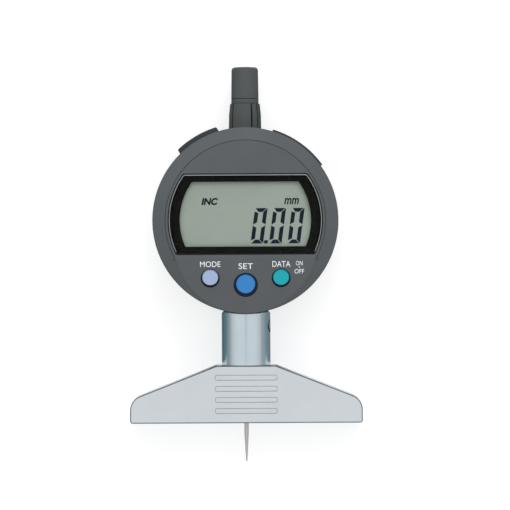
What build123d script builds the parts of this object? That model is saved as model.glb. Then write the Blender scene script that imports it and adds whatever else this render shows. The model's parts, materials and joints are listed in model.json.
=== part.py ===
from build123d import *
import os
from math import asin, atan, cos, degrees, hypot, radians, sin, tan

# Digital depth gauge, in millimetres. It lies on its back: +Y runs up the stem from the measuring
# face to the cap, +Z points out of the display, and the origin is where the spindle's axis meets
# the measuring face. Pieces of the dial are drawn round the dial's centre and then moved there.
# A size that goes with another is given as a distance from it, so that it follows when one changes.

# Clearances
SLIDE_GAP = 0.2  # air round a piece that slides in plastic
RUNNING_GAP = 0.02  # radial clearance of the spindle in its bushes
SEAT_GAP = 0.15  # air round a piece that drops into its seat

# Rear case
CASE_R = 29.0
CASE_WALL = 2.0
PILLAR_R = 2.2
PILLAR_IN = 1.5  # from the case's bore to a pillar's middle
PILLAR_ANGLES = (15, 165, 225, 315)
BOSS_HALF_W = 6.6
BOSS_L = 3.6  # how far the spindle bosses stand in from the wall
BOSS_UNDER_BOARD = 1.8
BOSS_OVER_STEM = 0.4  # the bosses reach this far behind the stem
BACK_COVER_T = 1.5
BACK_COVER_MARGIN = 0.7  # case seen round the back cover
BACK_COVER_EDGE = 0.5
GASKET_OUT = 0.9  # from the case's bore to the gasket
GASKET_W = 0.8
GASKET_T = 0.5

# Front cover
COVER_H = 8.0  # from its joint with the rear case to the display face
COVER_PROUD = 1.0  # the cover stands this far outside the case
COVER_WALL = 2.4
COVER_SKIN = 2.4
RIM_W = 4.1  # bevelled rim, as wide as it looks from the front
RIM_DROP = 2.0
RIM_ROUND = 0.7
CREASE_W = 0.35  # fine groove inside the rim's inner edge
CREASE_DEPTH = 0.45
CEILING_IN = 1.1  # the flat ceiling inside ends this far within the flat face
PANEL_W = 13.4  # key panel, from its fold to the rim
PANEL_TILT = 7.0

# Window, mask and display
WINDOW_IN = 0.95  # flat face left beside the window
WINDOW_TOP_IN = 10.93  # flat face left above it
WINDOW_OVER_FOLD = 1.4  # and between it and the key panel
WINDOW_ROUND = 1.0
WINDOW_T = 1.2
WINDOW_SUNK = 0.2
WINDOW_EDGE = 0.15
LENS_GAP = 0.3
LENS_EDGE = 0.28  # bevel round the lens, and as far as the black print stops short of it
LEDGE_W = 1.4
MASK_T = 0.2
MASK_SIDE_W = 3.8
MASK_TOP_W = 2.57
MASK_LOW_W = 2.63
VIEW_ROUND = 0.5
LCD_SIDE_HIDDEN = 0.55  # glass behind the mask
LCD_TOP_HIDDEN = 1.63
LCD_LOW_HIDDEN = 1.65
LCD_CORNER = 5.0
LCD_T = 2.0
LCD_GAP = 0.1
FRAME_WALL = 3.0
STRIP_IN = 0.5  # from the glass's corner to the end of a strip
STRIP_W = 1.6
STRIP_INSET = 0.8

# Keys: the side keys are the left and right ones
SIDE_KEY_X = 11.4
SIDE_KEY_IN = 7.3  # from the rim's inner edge up to the key's middle
SIDE_KEY_R = 2.55
SIDE_KEY_RING = 0.45  # from the key's cap to its hole
SET_KEY_IN = 5.1
SET_KEY_R = 3.15
SET_KEY_RING = 0.75
KEY_PROUD = 0.5
KEY_ROUND = 0.25
KEY_SKIRT_SUNK = 0.45  # the skirt round a key's cap lies this far under the panel
KEY_FLANGE_W = 0.6
KEY_FLANGE_T = 0.8
KEY_STEM_R = 1.2
KEY_FOOT_UP = 2.4  # from the board to the foot of the set key's stem
KEY_TRAVEL = 0.5
MEMBRANE_IN = 0.4
MEMBRANE_OVER_KEYS = 3.8
MEMBRANE_T = 0.7
MEMBRANE_GAP = 0.4
DOME_R = 2.2
DOME_TOP_R = 1.7

# Long case screws
CASE_SCREW_R = 0.8
CASE_SCREW_BITE = 3.5
CASE_SCREW_GAP = 0.2
CASE_HEAD_R = 1.7
CASE_HEAD_SUNK = 0.15
CASE_HEAD_T = 0.9

# Neck and cap
NECK_L = 9.1
NECK_FOOT_R = 5.3
NECK_BEND_R = 5.2
NECK_TOP_R = 4.83
NECK_BEND_DOWN = 3.6  # from the neck's top to where it narrows
NECK_GROOVE_W = 0.6
NECK_GROOVE_DEPTH = 0.45
NECK_GROOVE_UP = 0.6
NECK_GROOVE_ANGLES = (-51, 25, 52)  # from the front, positive to the right
LEVER_SLOT_W = 2.0
LEVER_SLOT_ANGLE = 78
LEVER_SLOT_DEPTH = 1.1
SPIGOT_R = 3.6
SPIGOT_L = 3.8
CAP_FOOT_R = 4.46
CAP_TOP_R = 4.32
CAP_WALL_TOP = 1.2
CAP_HEADROOM = 0.6  # over the spindle at full travel
CAP_ROUND = 1.0
CAP_RING_UP = 1.6
CAP_RING_W = 0.3
CAP_RING_DEPTH = 0.12

# Spindle train
SPINDLE_R = 2.0
SPINDLE_LOW_Y = 3.0
SPINDLE_UNDER_NECK = 2.9
SPINDLE_EDGE = 0.4
TRAVEL = 13.0  # the range of 12.7 and a little spare
BUSH_WALL = 0.98
BUSH_UNDER_NECK = 1.1
LOWER_BUSH_L = 12.0
CARRIER_SIDE = 1.6  # carrier beside the spindle
CARRIER_FRONT = 0.6
CARRIER_BACK = 0.8
CARRIER_L = 23.5
CARRIER_EDGE = 1.0
SCALE_OVERHANG = 0.6
SCALE_T = 1.0
READER_GAP = 0.3
READER_HALF_W = 6.0
READER_L = 14.0
READER_T = 3.1
READER_UP = 4.0
READER_EDGE = 1.0
STOP_T = 1.0
STOP_R = 3.5
STOP_PLAY = 0.3
PIN_R = 0.9
PIN_UP = 4.0
PIN_GAP = 0.05
RAIL_HALF_W = 2.8
RAIL_T = 1.2
RAIL_ROOM = 0.3  # between the rail's screws and the back cover
RAIL_SLOT_SPARE = 0.6
RAIL_SCREW_R = 0.5
RAIL_SCREW_EDGE = 1.3  # from a screw's middle to the end of its arm
RAIL_SCREW_L = 2.6
RAIL_HEAD_R = 1.0
RAIL_HEAD_T = 0.6
SPRING_PLAY = 0.6  # from the spindle to the wire's middle
SPRING_WIRE_R = 0.18
SPRING_TURNS = 10

# Stem, sleeve and clamp screw
STEM_R = 4.0
STEM_PLAY = 0.6  # round the spindle, above the lower bush
STEM_OVER_FLOOR = 0.5
SLEEVE_R = 7.95
SLEEVE_L = 17.85
SLEEVE_UNDER_CASE = 0.2
SLEEVE_ROUND = 1.2
SLEEVE_FIT = 0.03
SLEEVE_FLOOR_T = 5.3
SPIGOT_IN_BASE_R = 6.0
SPIGOT_IN_BASE_L = 11.6
CLAMP_DOWN = 5.2  # from the sleeve's top
CLAMP_TURN = 13.0  # from +X towards the front
CLAMP_R = 2.0
CLAMP_SUNK = 0.5
CLAMP_EDGE = 0.2
CLAMP_HEX = 2.0
CLAMP_HEX_DEPTH = 1.6

# Measuring base
BASE_W = 75.4
BASE_H = 18.65
BASE_T = 16.0
BASE_TOP_W = 19.2
BASE_END_H = 7.65
BASE_SHOULDER_R = 5.0
BASE_FOOT_R = 0.8
BASE_EDGE = 0.35
BASE_HOLE_PLAY = 0.5
GROOVE_COUNT = 4
GROOVE_W = 20.0
GROOVE_H = 1.5
GROOVE_DOWN = 3.15  # plain face above the grooves
GROOVE_UP = 3.2  # plain face below them
GROOVE_DEPTH = 0.5
GROOVE_ROUND = 0.5
GROOVE_EDGE = 0.15

# Needle
NEEDLE_SUNK = 0.1  # the tip is this far inside the measuring face at full travel
NEEDLE_R = 0.74
NEEDLE_TIP_R = 0.22
NEEDLE_STRAIGHT = 3.5
NEEDLE_HEAD_R = 1.5
NEEDLE_HEAD_L = 1.5
NEEDLE_THREAD_R = 1.2
NEEDLE_THREAD_L = 3.0

# Battery tray and cell, drawn along +Y and then turned to their place on the rim
CELL_R = 5.8
CELL_T = 5.4
CELL_EDGE = 0.6
CELL_OVER_BORE = 0.2  # the cell reaches this far into the case's wall
TRAY_SIDE = 0.9
TRAY_BACK_Z = -3.2
TRAY_FLOOR_T = 0.6
TRAY_FIT = 0.05
TRAY_PROUD = 1.9  # the tray's front stands this far outside the front cover
TRAY_HEAD_SIDE = 0.6  # its head covers this much round the slot
TRAY_HEAD_GAP = 0.15
TRAY_CORNER = 0.25
TRAY_RIB_COUNT = 3
TRAY_RIB_W = 0.7
TRAY_RIB_DEPTH = 0.35
BAY_WALL = 0.8
BAY_OFF_SPRING = 0.3
CONTACT_T = 0.2
CONTACT_LEAF_W = 4.0
CONTACT_POST_R = 0.4
CONTACT_NOTCH_HALF_W = 1.2
CONTACT_GAP = 0.1

# Data socket and its cover
PORT_COVER_HALF_ANGLE = 18.5
PORT_COVER_PROUD = 1.85
PORT_COVER_GAP = 0.2
PORT_COVER_UP = 1.9  # from the case's back edge to the cover
PORT_COVER_DOWN = 1.4  # from the front cover to the cover
SOCKET_OFF_AXIS = 5.1  # from the spindle's axis to the socket's nearest corner
SOCKET_HALF_W = 7.0
SOCKET_LOW_Z = -2.6
SOCKET_TOP_Z = 3.2
SOCKET_L = 6.9
SOCKET_STEP_IN = 1.6
SOCKET_NOSE_IN = 0.5  # from the case's outside to the socket's mouth
SOCKET_NOSE_SIDE = 1.0
SOCKET_NOSE_STEP = 0.6
SOCKET_WALL = 1.0
SOCKET_DEPTH = 6.0
TONGUE_L = 3.0
TONGUE_PLAY = 0.25
CONTACT_COUNT = 6
CONTACT_PITCH = 1.5
CONTACT_PIN_R = 0.25
CONTACT_PIN_IN = 2.0  # from the socket's inner end

# Circuit board
BOARD_IN = 2.0  # from the case's bore to the board's edge
BOARD_T = 1.2
BOARD_LIFT = 0.2  # the board's front lies this far above the joint
BOARD_NOTCH_GAP = 0.35
BOARD_TOP_SCREWS = (13.0, 7.5)  # distance from the middle, and in from the case's bore
BOARD_LOW_SCREWS = (7.0, 4.0)
BOARD_SCREW_R = 0.6
BOARD_SCREW_L = 3.2
BOARD_BOSS_R = 1.8
BOARD_HEAD_R = 1.4
BOARD_HEAD_T = 0.8

# Parts on the board's back: middle, width, height and thickness of each
PROCESSOR = (-15.0, -2.0, 8.0, 8.0, 1.3)
SENSOR_CHIP = (13.0, -0.75, 6.0, 6.5, 1.0)
CRYSTAL = (13.25, -8.75, 7.5, 2.5, 1.6)
CAPACITORS = ((-15.0, -10.0, 3.0, 2.0, 1.0), (-10.5, -10.0, 3.0, 2.0, 1.0))

# Radii of the dial
CASE_BORE_R = CASE_R - CASE_WALL
PILLAR_AT_R = CASE_BORE_R - PILLAR_IN
BACK_COVER_R = CASE_R - BACK_COVER_MARGIN
GASKET_IN_R = CASE_BORE_R + GASKET_OUT
COVER_R = CASE_R + COVER_PROUD
FACE_R = COVER_R - RIM_W
CEILING_R = FACE_R - CEILING_IN
WINDOW_R = FACE_R - WINDOW_IN
VIEW_R = WINDOW_R - MASK_SIDE_W
BOARD_R = CASE_BORE_R - BOARD_IN
MEMBRANE_R = BOARD_R - MEMBRANE_IN

# Heights in the dial, from its centre
PANEL_FOLD = FACE_R - PANEL_W
WINDOW_TOP = FACE_R - WINDOW_TOP_IN
WINDOW_LOW = WINDOW_OVER_FOLD - PANEL_FOLD
VIEW_TOP = WINDOW_TOP - MASK_TOP_W
VIEW_LOW = WINDOW_LOW + MASK_LOW_W
LCD_HALF_W = VIEW_R + LCD_SIDE_HIDDEN
LCD_TOP = VIEW_TOP + LCD_TOP_HIDDEN
LCD_LOW = VIEW_LOW - LCD_LOW_HIDDEN
STRIP_L = 2 * (LCD_HALF_W - LCD_CORNER - STRIP_IN)
SIDE_KEY_Y = SIDE_KEY_IN - FACE_R
SET_KEY_Y = SET_KEY_IN - FACE_R
MEMBRANE_TOP = SIDE_KEY_Y + MEMBRANE_OVER_KEYS

# Radii about the spindle
BUSH_BORE_R = SPINDLE_R + RUNNING_GAP
BUSH_R = BUSH_BORE_R + BUSH_WALL
STOP_BORE_R = SPINDLE_R + STOP_PLAY
SPRING_R = SPINDLE_R + SPRING_PLAY
STEM_BORE_R = SPINDLE_R + STEM_PLAY
BASE_HOLE_R = SPINDLE_R + BASE_HOLE_PLAY
SLEEVE_BORE_R = STEM_R + SLEEVE_FIT
CARRIER_HALF_W = SPINDLE_R + CARRIER_SIDE
SCALE_HALF_W = CARRIER_HALF_W + SCALE_OVERHANG

# Planes from the spindle out to the display face
CARRIER_FRONT_Z = SPINDLE_R + CARRIER_FRONT
SCALE_FRONT_Z = CARRIER_FRONT_Z + SCALE_T
BOARD_BACK_Z = SCALE_FRONT_Z + READER_GAP + READER_T
BOARD_FRONT_Z = BOARD_BACK_Z + BOARD_T
SPLIT_Z = BOARD_FRONT_Z - BOARD_LIFT
FRONT_Z = SPLIT_Z + COVER_H
CEILING_Z = FRONT_Z - COVER_SKIN
WINDOW_SEAT_Z = FRONT_Z - WINDOW_SUNK - WINDOW_T
MASK_SEAT_Z = WINDOW_SEAT_Z - MASK_T
LCD_FRONT_Z = CEILING_Z - LCD_GAP
LCD_BACK_Z = LCD_FRONT_Z - LCD_T
BOSS_TOP_Z = BOARD_BACK_Z - BOSS_UNDER_BOARD

# Planes from the spindle back to the plane on which the gauge lies
CARRIER_BACK_Z = -SPINDLE_R - CARRIER_BACK
BOSS_BACK_Z = -STEM_R - BOSS_OVER_STEM
RAIL_BACK_Z = BOSS_BACK_Z - RAIL_T
CASE_BACK_Z = RAIL_BACK_Z - RAIL_HEAD_T - RAIL_ROOM
BACK_Z = CASE_BACK_Z - BACK_COVER_T
BASE_FRONT_Z = BACK_Z + BASE_T

# Key stems, measured square to the tilted panel
FOLD_SLOPE = tan(radians(PANEL_TILT))
SET_KEY_DROP = -(SET_KEY_Y + PANEL_FOLD) * FOLD_SLOPE
KEY_FLOOR = KEY_FOOT_UP + SET_KEY_DROP + BOARD_LIFT - COVER_H

# Heights above the measuring face
SPIGOT_LOW_Y = BASE_H - SPIGOT_IN_BASE_L
SLEEVE_FLOOR_Y = SPIGOT_LOW_Y + SLEEVE_FLOOR_T
STEM_LOW_Y = SLEEVE_FLOOR_Y + STEM_OVER_FLOOR
SLEEVE_TOP_Y = BASE_H + SLEEVE_L
CLAMP_Y = SLEEVE_TOP_Y - CLAMP_DOWN
DIAL_Y = SLEEVE_TOP_Y + SLEEVE_UNDER_CASE + CASE_R
LOWER_BOSS_Y = DIAL_Y - CASE_BORE_R + BOSS_L
UPPER_BOSS_Y = DIAL_Y + CASE_BORE_R - BOSS_L
CARRIER_LOW_Y = LOWER_BOSS_Y + STOP_T
CARRIER_TOP_Y = CARRIER_LOW_Y + CARRIER_L
PIN_Y = CARRIER_LOW_Y + PIN_UP
NECK_TOP_Y = DIAL_Y + CASE_R + NECK_L
UPPER_BUSH_TOP_Y = NECK_TOP_Y - BUSH_UNDER_NECK
SPINDLE_TOP_Y = NECK_TOP_Y - SPINDLE_UNDER_NECK
CAP_TOP_Y = SPINDLE_TOP_Y + TRAVEL + CAP_HEADROOM + CAP_WALL_TOP
NEEDLE_OUT = TRAVEL - NEEDLE_SUNK
GROOVE_PITCH = (BASE_H - GROOVE_DOWN - GROOVE_UP - GROOVE_H) / (GROOVE_COUNT - 1)

# Battery bay: it is turned away from the neck until it clears the return spring
TRAY_HALF_W = CELL_R + TRAY_SIDE
TRAY_FRONT_R = COVER_R + TRAY_PROUD
BAY_HALF_W = TRAY_HALF_W + SLIDE_GAP
CELL_AT_R = CASE_BORE_R - CELL_R + CELL_OVER_BORE
CELL_LOW_Z = TRAY_BACK_Z + TRAY_FLOOR_T
CELL_TOP_Z = CELL_LOW_Z + CELL_T
BAY_LOW_Z = TRAY_BACK_Z - SLIDE_GAP
BAY_TOP_Z = CELL_TOP_Z + 2 * SLIDE_GAP + CONTACT_T
BAY_OFF_AXIS = SPRING_R + SPRING_WIRE_R + BAY_OFF_SPRING + BAY_WALL + BAY_HALF_W
TRAY_ANGLE = degrees(asin(BAY_OFF_AXIS / CELL_AT_R))

# Data socket: turned the other way until its inner corner is clear of the spindle
SOCKET_STEP_R = CASE_BORE_R - SOCKET_STEP_IN
SOCKET_IN_R = SOCKET_STEP_R - SOCKET_L
SOCKET_NOSE_R = CASE_R - SOCKET_NOSE_IN
SOCKET_CORNER_R = hypot(SOCKET_IN_R, SOCKET_HALF_W)
PORT_ANGLE = -degrees(atan(SOCKET_HALF_W / SOCKET_IN_R) + asin(SOCKET_OFF_AXIS / SOCKET_CORNER_R))
PORT_COVER_R = CASE_R + PORT_COVER_PROUD
PORT_COVER_LOW_Z = CASE_BACK_Z + PORT_COVER_UP
PORT_COVER_TOP_Z = SPLIT_Z - PORT_COVER_DOWN

# Places of the board's screws
TOP_X, TOP_IN = BOARD_TOP_SCREWS
LOW_X, LOW_IN = BOARD_LOW_SCREWS
BOARD_SCREW_AT = (
    (-TOP_X, CASE_BORE_R - TOP_IN),
    (TOP_X, CASE_BORE_R - TOP_IN),
    (-LOW_X, LOW_IN - CASE_BORE_R),
    (LOW_X, LOW_IN - CASE_BORE_R),
)

AT_DIAL = Pos(0, DIAL_Y, 0)
AT_TRAY = AT_DIAL * Rot(Z=TRAY_ANGLE)
AT_PORT = AT_DIAL * Rot(Z=PORT_ANGLE)
AT_CLAMP = Pos(0, CLAMP_Y, 0) * Rot(Y=90 - CLAMP_TURN)


# Ways of making a form


def prism(sketch, low, high):
    """A sketch of the XY plane, made solid from z = low to z = high."""
    return extrude(Pos(0, 0, low) * sketch, high - low)


def disc(radius, low, high, at=(0, 0)):
    """A round slab or post that stands along Z."""
    return prism(Pos(*at) * Circle(radius), low, high)


def turned(points):
    """A closed outline of (radius, y) points, turned about the spindle's axis."""
    return revolve(make_face(Polyline(points, close=True)), Axis.Y)


def rod(radius, low, high):
    """A cylinder on the spindle's axis, from y = low to y = high."""
    return turned([(0, low), (radius, low), (radius, high), (0, high)])


def tube(outer, inner, low, high):
    """A plain tube on the spindle's axis."""
    return turned([(inner, low), (outer, low), (outer, high), (inner, high)])


def dished(points):
    """A closed outline of (radius, z) points, turned about the dial's own axis."""
    return revolve(Plane.XZ * make_face(Polyline(points, close=True)), Axis.Z)


def block(x, y, z):
    """A box given by its lowest and highest value along each axis."""
    size = (x[1] - x[0], y[1] - y[0], z[1] - z[0])
    middle = ((x[0] + x[1]) / 2, (y[0] + y[1]) / 2, (z[0] + z[1]) / 2)
    return Pos(*middle) * Box(*size)


def clipped_disc(radius, low, high, corner):
    """A circle cut flat above and below, with its four corners rounded."""
    band = Pos(0, (low + high) / 2) * Rectangle(2 * radius, high - low)
    face = Circle(radius) & band
    return fillet(face.vertices(), corner)


def on_circle(radius, angle):
    """The point at this radius and angle from +X."""
    return (radius * cos(radians(angle)), radius * sin(radians(angle)))


def on_panel(x, y):
    """The place on the tilted key panel that is seen at x, y from the front."""
    return Pos(x, y, FRONT_Z + (y + PANEL_FOLD) * FOLD_SLOPE) * Rot(X=PANEL_TILT)


def pillar_places():
    return [on_circle(PILLAR_AT_R, angle) for angle in PILLAR_ANGLES]


def key_places():
    """Name, place on the panel, cap radius and hole radius of each key."""
    return (
        ("mode_button", (-SIDE_KEY_X, SIDE_KEY_Y), SIDE_KEY_R, SIDE_KEY_R + SIDE_KEY_RING),
        ("set_button", (0, SET_KEY_Y), SET_KEY_R, SET_KEY_R + SET_KEY_RING),
        ("data_button", (SIDE_KEY_X, SIDE_KEY_Y), SIDE_KEY_R, SIDE_KEY_R + SIDE_KEY_RING),
    )


# Front cover and what it holds


def over_panel(depth):
    """All that lies above the key panel, or above a plane that deep under it."""
    fold_y = -PANEL_FOLD + depth * tan(radians(PANEL_TILT / 2))
    wedge = Box(4 * COVER_R, 2 * COVER_R, FRONT_Z, align=(Align.CENTER, Align.MAX, Align.MIN))
    return Pos(0, fold_y, FRONT_Z - depth) * Rot(X=PANEL_TILT) * wedge


def cover_outside():
    rim_z = FRONT_Z - RIM_DROP
    body = dished([(0, SPLIT_Z), (COVER_R, SPLIT_Z), (COVER_R, rim_z), (FACE_R, FRONT_Z), (0, FRONT_Z)])
    rim = body.edges().filter_by(GeomType.CIRCLE).filter_by_position(Axis.Z, rim_z - 0.01, rim_z + 0.01)
    return fillet(rim, RIM_ROUND) - over_panel(0)


def rim_cone(inset):
    """The cone of the bevelled rim, moved this far in."""
    foot_r = FACE_R - inset + COVER_H * RIM_W / RIM_DROP
    return dished([(0, SPLIT_Z), (foot_r, SPLIT_Z), (FACE_R - inset, FRONT_Z), (0, FRONT_Z)])


def crease():
    """The fine groove where the face and the key panel meet the rim."""
    ring = rim_cone(0) - rim_cone(CREASE_W)
    return ring & (over_panel(CREASE_DEPTH) + disc(FACE_R, FRONT_Z - CREASE_DEPTH, FRONT_Z))


def cover_hollow():
    bore_r = COVER_R - COVER_WALL
    bend_z = CEILING_Z - RIM_DROP
    form = dished([(0, SPLIT_Z), (bore_r, SPLIT_Z), (bore_r, bend_z), (CEILING_R, CEILING_Z), (0, CEILING_Z)])
    return form - over_panel(COVER_SKIN)


def window_outline(inset=0.0):
    return clipped_disc(WINDOW_R - inset, WINDOW_LOW + inset, WINDOW_TOP - inset, WINDOW_ROUND)


def front_cover():
    outside = cover_outside()
    cover = outside - cover_hollow()
    for place in pillar_places():
        cover += disc(PILLAR_R, SPLIT_Z, FRONT_Z, place) & outside
    for place in BOARD_SCREW_AT:
        cover += disc(BOARD_BOSS_R, BOARD_FRONT_Z, FRONT_Z, place) & outside
    cover -= prism(window_outline(), MASK_SEAT_Z, FRONT_Z)
    cover -= prism(window_outline(LEDGE_W), SPLIT_Z, FRONT_Z)
    mouth = [
        edge
        for edge in cover.edges().filter_by_position(Axis.Z, FRONT_Z - 0.01, FRONT_Z + 0.01)
        if edge.bounding_box().max.X < WINDOW_R + 0.1 and edge.bounding_box().min.Y > -PANEL_FOLD + 0.1
    ]
    cover = chamfer(mouth, WINDOW_EDGE) - crease()
    for _, place, _, hole_r in key_places():
        cover -= on_panel(*place) * Cylinder(hole_r, 4 * COVER_SKIN)
    for place in pillar_places():
        cover -= disc(CASE_SCREW_R, SPLIT_Z, SPLIT_Z + CASE_SCREW_BITE, place)
    for place in BOARD_SCREW_AT:
        cover -= disc(BOARD_SCREW_R, BOARD_FRONT_Z, BOARD_FRONT_Z + BOARD_SCREW_L, place)
    return AT_DIAL * cover


def display_window():
    lens = prism(window_outline(LENS_GAP), WINDOW_SEAT_Z, WINDOW_SEAT_Z + WINDOW_T)
    top = lens.faces().sort_by(Axis.Z)[-1]
    return AT_DIAL * chamfer(top.edges(), LENS_EDGE)


def display_mask():
    opening = clipped_disc(VIEW_R, VIEW_LOW, VIEW_TOP, VIEW_ROUND)
    print_edge = window_outline(LENS_GAP + LENS_EDGE)
    return AT_DIAL * prism(print_edge - opening, MASK_SEAT_Z, WINDOW_SEAT_Z)


def lcd_outline():
    middle = (LCD_TOP + LCD_LOW) / 2
    sheet = Pos(0, middle) * Rectangle(2 * LCD_HALF_W, LCD_TOP - LCD_LOW)
    return chamfer(sheet.vertices(), LCD_CORNER)


def strip_outlines():
    """Where the two conductive strips lie, along the top and the foot of the display."""
    strip = Rectangle(STRIP_L, STRIP_W)
    top_y = LCD_TOP - STRIP_INSET - STRIP_W / 2
    low_y = LCD_LOW + STRIP_INSET + STRIP_W / 2
    return Pos(0, top_y) * strip, Pos(0, low_y) * strip


def lcd_panel():
    return AT_DIAL * prism(lcd_outline(), LCD_BACK_Z, LCD_FRONT_Z)


def display_frame():
    middle = (LCD_TOP + LCD_LOW) / 2
    window = Rectangle(2 * (LCD_HALF_W - FRAME_WALL), LCD_TOP - LCD_LOW - 2 * FRAME_WALL)
    outline = lcd_outline() - Pos(0, middle) * window
    for strip in strip_outlines():
        outline -= strip
    return AT_DIAL * prism(outline, BOARD_FRONT_Z, LCD_BACK_Z)


def elastomer_strips():
    top, low = strip_outlines()
    return AT_DIAL * Compound([prism(top, BOARD_FRONT_Z, LCD_BACK_Z), prism(low, BOARD_FRONT_Z, LCD_BACK_Z)])


# Keys


def key(place, cap_r, hole_r):
    """A round key: cap, skirt in its hole, flange under the skin and stem over its dome."""
    skirt_r = hole_r - SLIDE_GAP
    cap = disc(cap_r, -COVER_SKIN, KEY_PROUD)
    cap = fillet(cap.edges().sort_by(Axis.Z)[-1], KEY_ROUND)
    skirt = disc(skirt_r, -COVER_SKIN, -KEY_SKIRT_SUNK)
    flange = disc(hole_r + KEY_FLANGE_W, -COVER_SKIN - KEY_FLANGE_T, -COVER_SKIN)
    stem = disc(KEY_STEM_R, KEY_FLOOR, -COVER_SKIN)
    return AT_DIAL * on_panel(*place) * (cap + skirt + flange + stem)


def keypad_membrane():
    sheet = Circle(MEMBRANE_R) - Pos(0, MEMBRANE_TOP) * Rectangle(
        4 * MEMBRANE_R, 4 * MEMBRANE_R, align=(Align.CENTER, Align.MIN)
    )
    for place in pillar_places():
        sheet -= Pos(*place) * Circle(PILLAR_R + MEMBRANE_GAP)
    for place in BOARD_SCREW_AT:
        sheet -= Pos(*place) * Circle(BOARD_BOSS_R + MEMBRANE_GAP)
    membrane = prism(sheet, BOARD_FRONT_Z, BOARD_FRONT_Z + MEMBRANE_T)
    for _, place, _, _ in key_places():
        foot = (on_panel(*place) * Pos(0, 0, KEY_FLOOR)).position
        top_z = foot.Z - KEY_STEM_R * FOLD_SLOPE - KEY_TRAVEL - SLIDE_GAP / 2
        low_z = BOARD_FRONT_Z + MEMBRANE_T / 2
        dome = Cone(DOME_R, DOME_TOP_R, top_z - low_z, align=(Align.CENTER, Align.CENTER, Align.MIN))
        membrane += Pos(foot.X, foot.Y, low_z) * dome
    return AT_DIAL * membrane


# Board and reader


def circuit_board():
    outline = Circle(BOARD_R)
    for place in pillar_places():
        outline -= Pos(*place) * Circle(PILLAR_R + BOARD_NOTCH_GAP)
    for place in BOARD_SCREW_AT:
        outline -= Pos(*place) * Circle(BOARD_SCREW_R)
    return AT_DIAL * prism(outline, BOARD_BACK_Z, BOARD_FRONT_Z)


def board_screws():
    screws = []
    for place in BOARD_SCREW_AT:
        head = disc(BOARD_HEAD_R, BOARD_BACK_Z - BOARD_HEAD_T, BOARD_BACK_Z, place)
        screws.append(head + disc(BOARD_SCREW_R, BOARD_BACK_Z, BOARD_FRONT_Z + BOARD_SCREW_L, place))
    return AT_DIAL * Compound(screws)


def board_components():
    """The larger parts soldered to the board's back."""
    chips = []
    for x, y, width, height, thickness in (PROCESSOR, SENSOR_CHIP, CRYSTAL, *CAPACITORS):
        outline = Pos(x, y) * Rectangle(width, height)
        chips.append(prism(outline, BOARD_BACK_Z - thickness, BOARD_BACK_Z))
    return AT_DIAL * Compound(chips)


def reader_head():
    low_y = CARRIER_LOW_Y + READER_UP
    depth = (BOARD_BACK_Z - READER_T, BOARD_BACK_Z)
    head = block((-READER_HALF_W, READER_HALF_W), (low_y, low_y + READER_L), depth)
    return chamfer(head.edges().filter_by(Axis.Z), READER_EDGE)


# Rear case and its back


def bay_outline(half_w, far_r):
    """A slot with a round inner end, open outwards along +Y to far_r."""
    end = Pos(0, CELL_AT_R) * Circle(half_w)
    run = Pos(0, CELL_AT_R) * Rectangle(2 * half_w, far_r - CELL_AT_R, align=(Align.CENTER, Align.MIN))
    return end + run


def case_ring():
    body = disc(CASE_R, CASE_BACK_Z, SPLIT_Z) - disc(CASE_BORE_R, CASE_BACK_Z, SPLIT_Z)
    bay = bay_outline(BAY_HALF_W + BAY_WALL, CASE_BORE_R + CASE_WALL / 4)
    body += Rot(Z=TRAY_ANGLE) * prism(bay, BAY_LOW_Z - BAY_WALL, BAY_TOP_Z + BAY_WALL)
    for place in pillar_places():
        body += disc(PILLAR_R, CASE_BACK_Z, SPLIT_Z, place)
    return AT_DIAL * body


def neck():
    foot_y = DIAL_Y + CASE_BORE_R
    top_y = NECK_TOP_Y + SPIGOT_L
    body = turned(
        [
            (0, foot_y),
            (NECK_FOOT_R, foot_y),
            (NECK_FOOT_R, DIAL_Y + CASE_R),
            (NECK_BEND_R, NECK_TOP_Y - NECK_BEND_DOWN),
            (NECK_TOP_R, NECK_TOP_Y),
            (SPIGOT_R, NECK_TOP_Y),
            (SPIGOT_R, top_y),
            (0, top_y),
        ]
    )
    for angle in NECK_GROOVE_ANGLES:
        body -= neck_cut(angle, NECK_GROOVE_W, NECK_GROOVE_DEPTH)
    return body - neck_cut(LEVER_SLOT_ANGLE, LEVER_SLOT_W, LEVER_SLOT_DEPTH)


def neck_cut(angle, width, depth):
    """A groove up the neck, this far round from the front."""
    low_y = DIAL_Y + CASE_R + NECK_GROOVE_UP
    tool = block((-width / 2, width / 2), (low_y, NECK_TOP_Y), (NECK_TOP_R - depth, 2 * NECK_FOOT_R))
    return Rot(Y=angle) * tool


def spindle_bosses():
    """The blocks inside the wall that hold the stem below and the upper bush above."""
    side = (-BOSS_HALF_W, BOSS_HALF_W)
    depth = (BOSS_BACK_Z, BOSS_TOP_Z)
    wall_in = CASE_WALL / 2
    lower = block(side, (LOWER_BOSS_Y - BOSS_L - wall_in, LOWER_BOSS_Y), depth)
    upper = block(side, (UPPER_BOSS_Y, UPPER_BOSS_Y + BOSS_L + wall_in), depth)
    inside = AT_DIAL * disc(CASE_R - wall_in / 2, CASE_BACK_Z, SPLIT_Z)
    return (lower + upper) & inside


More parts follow.
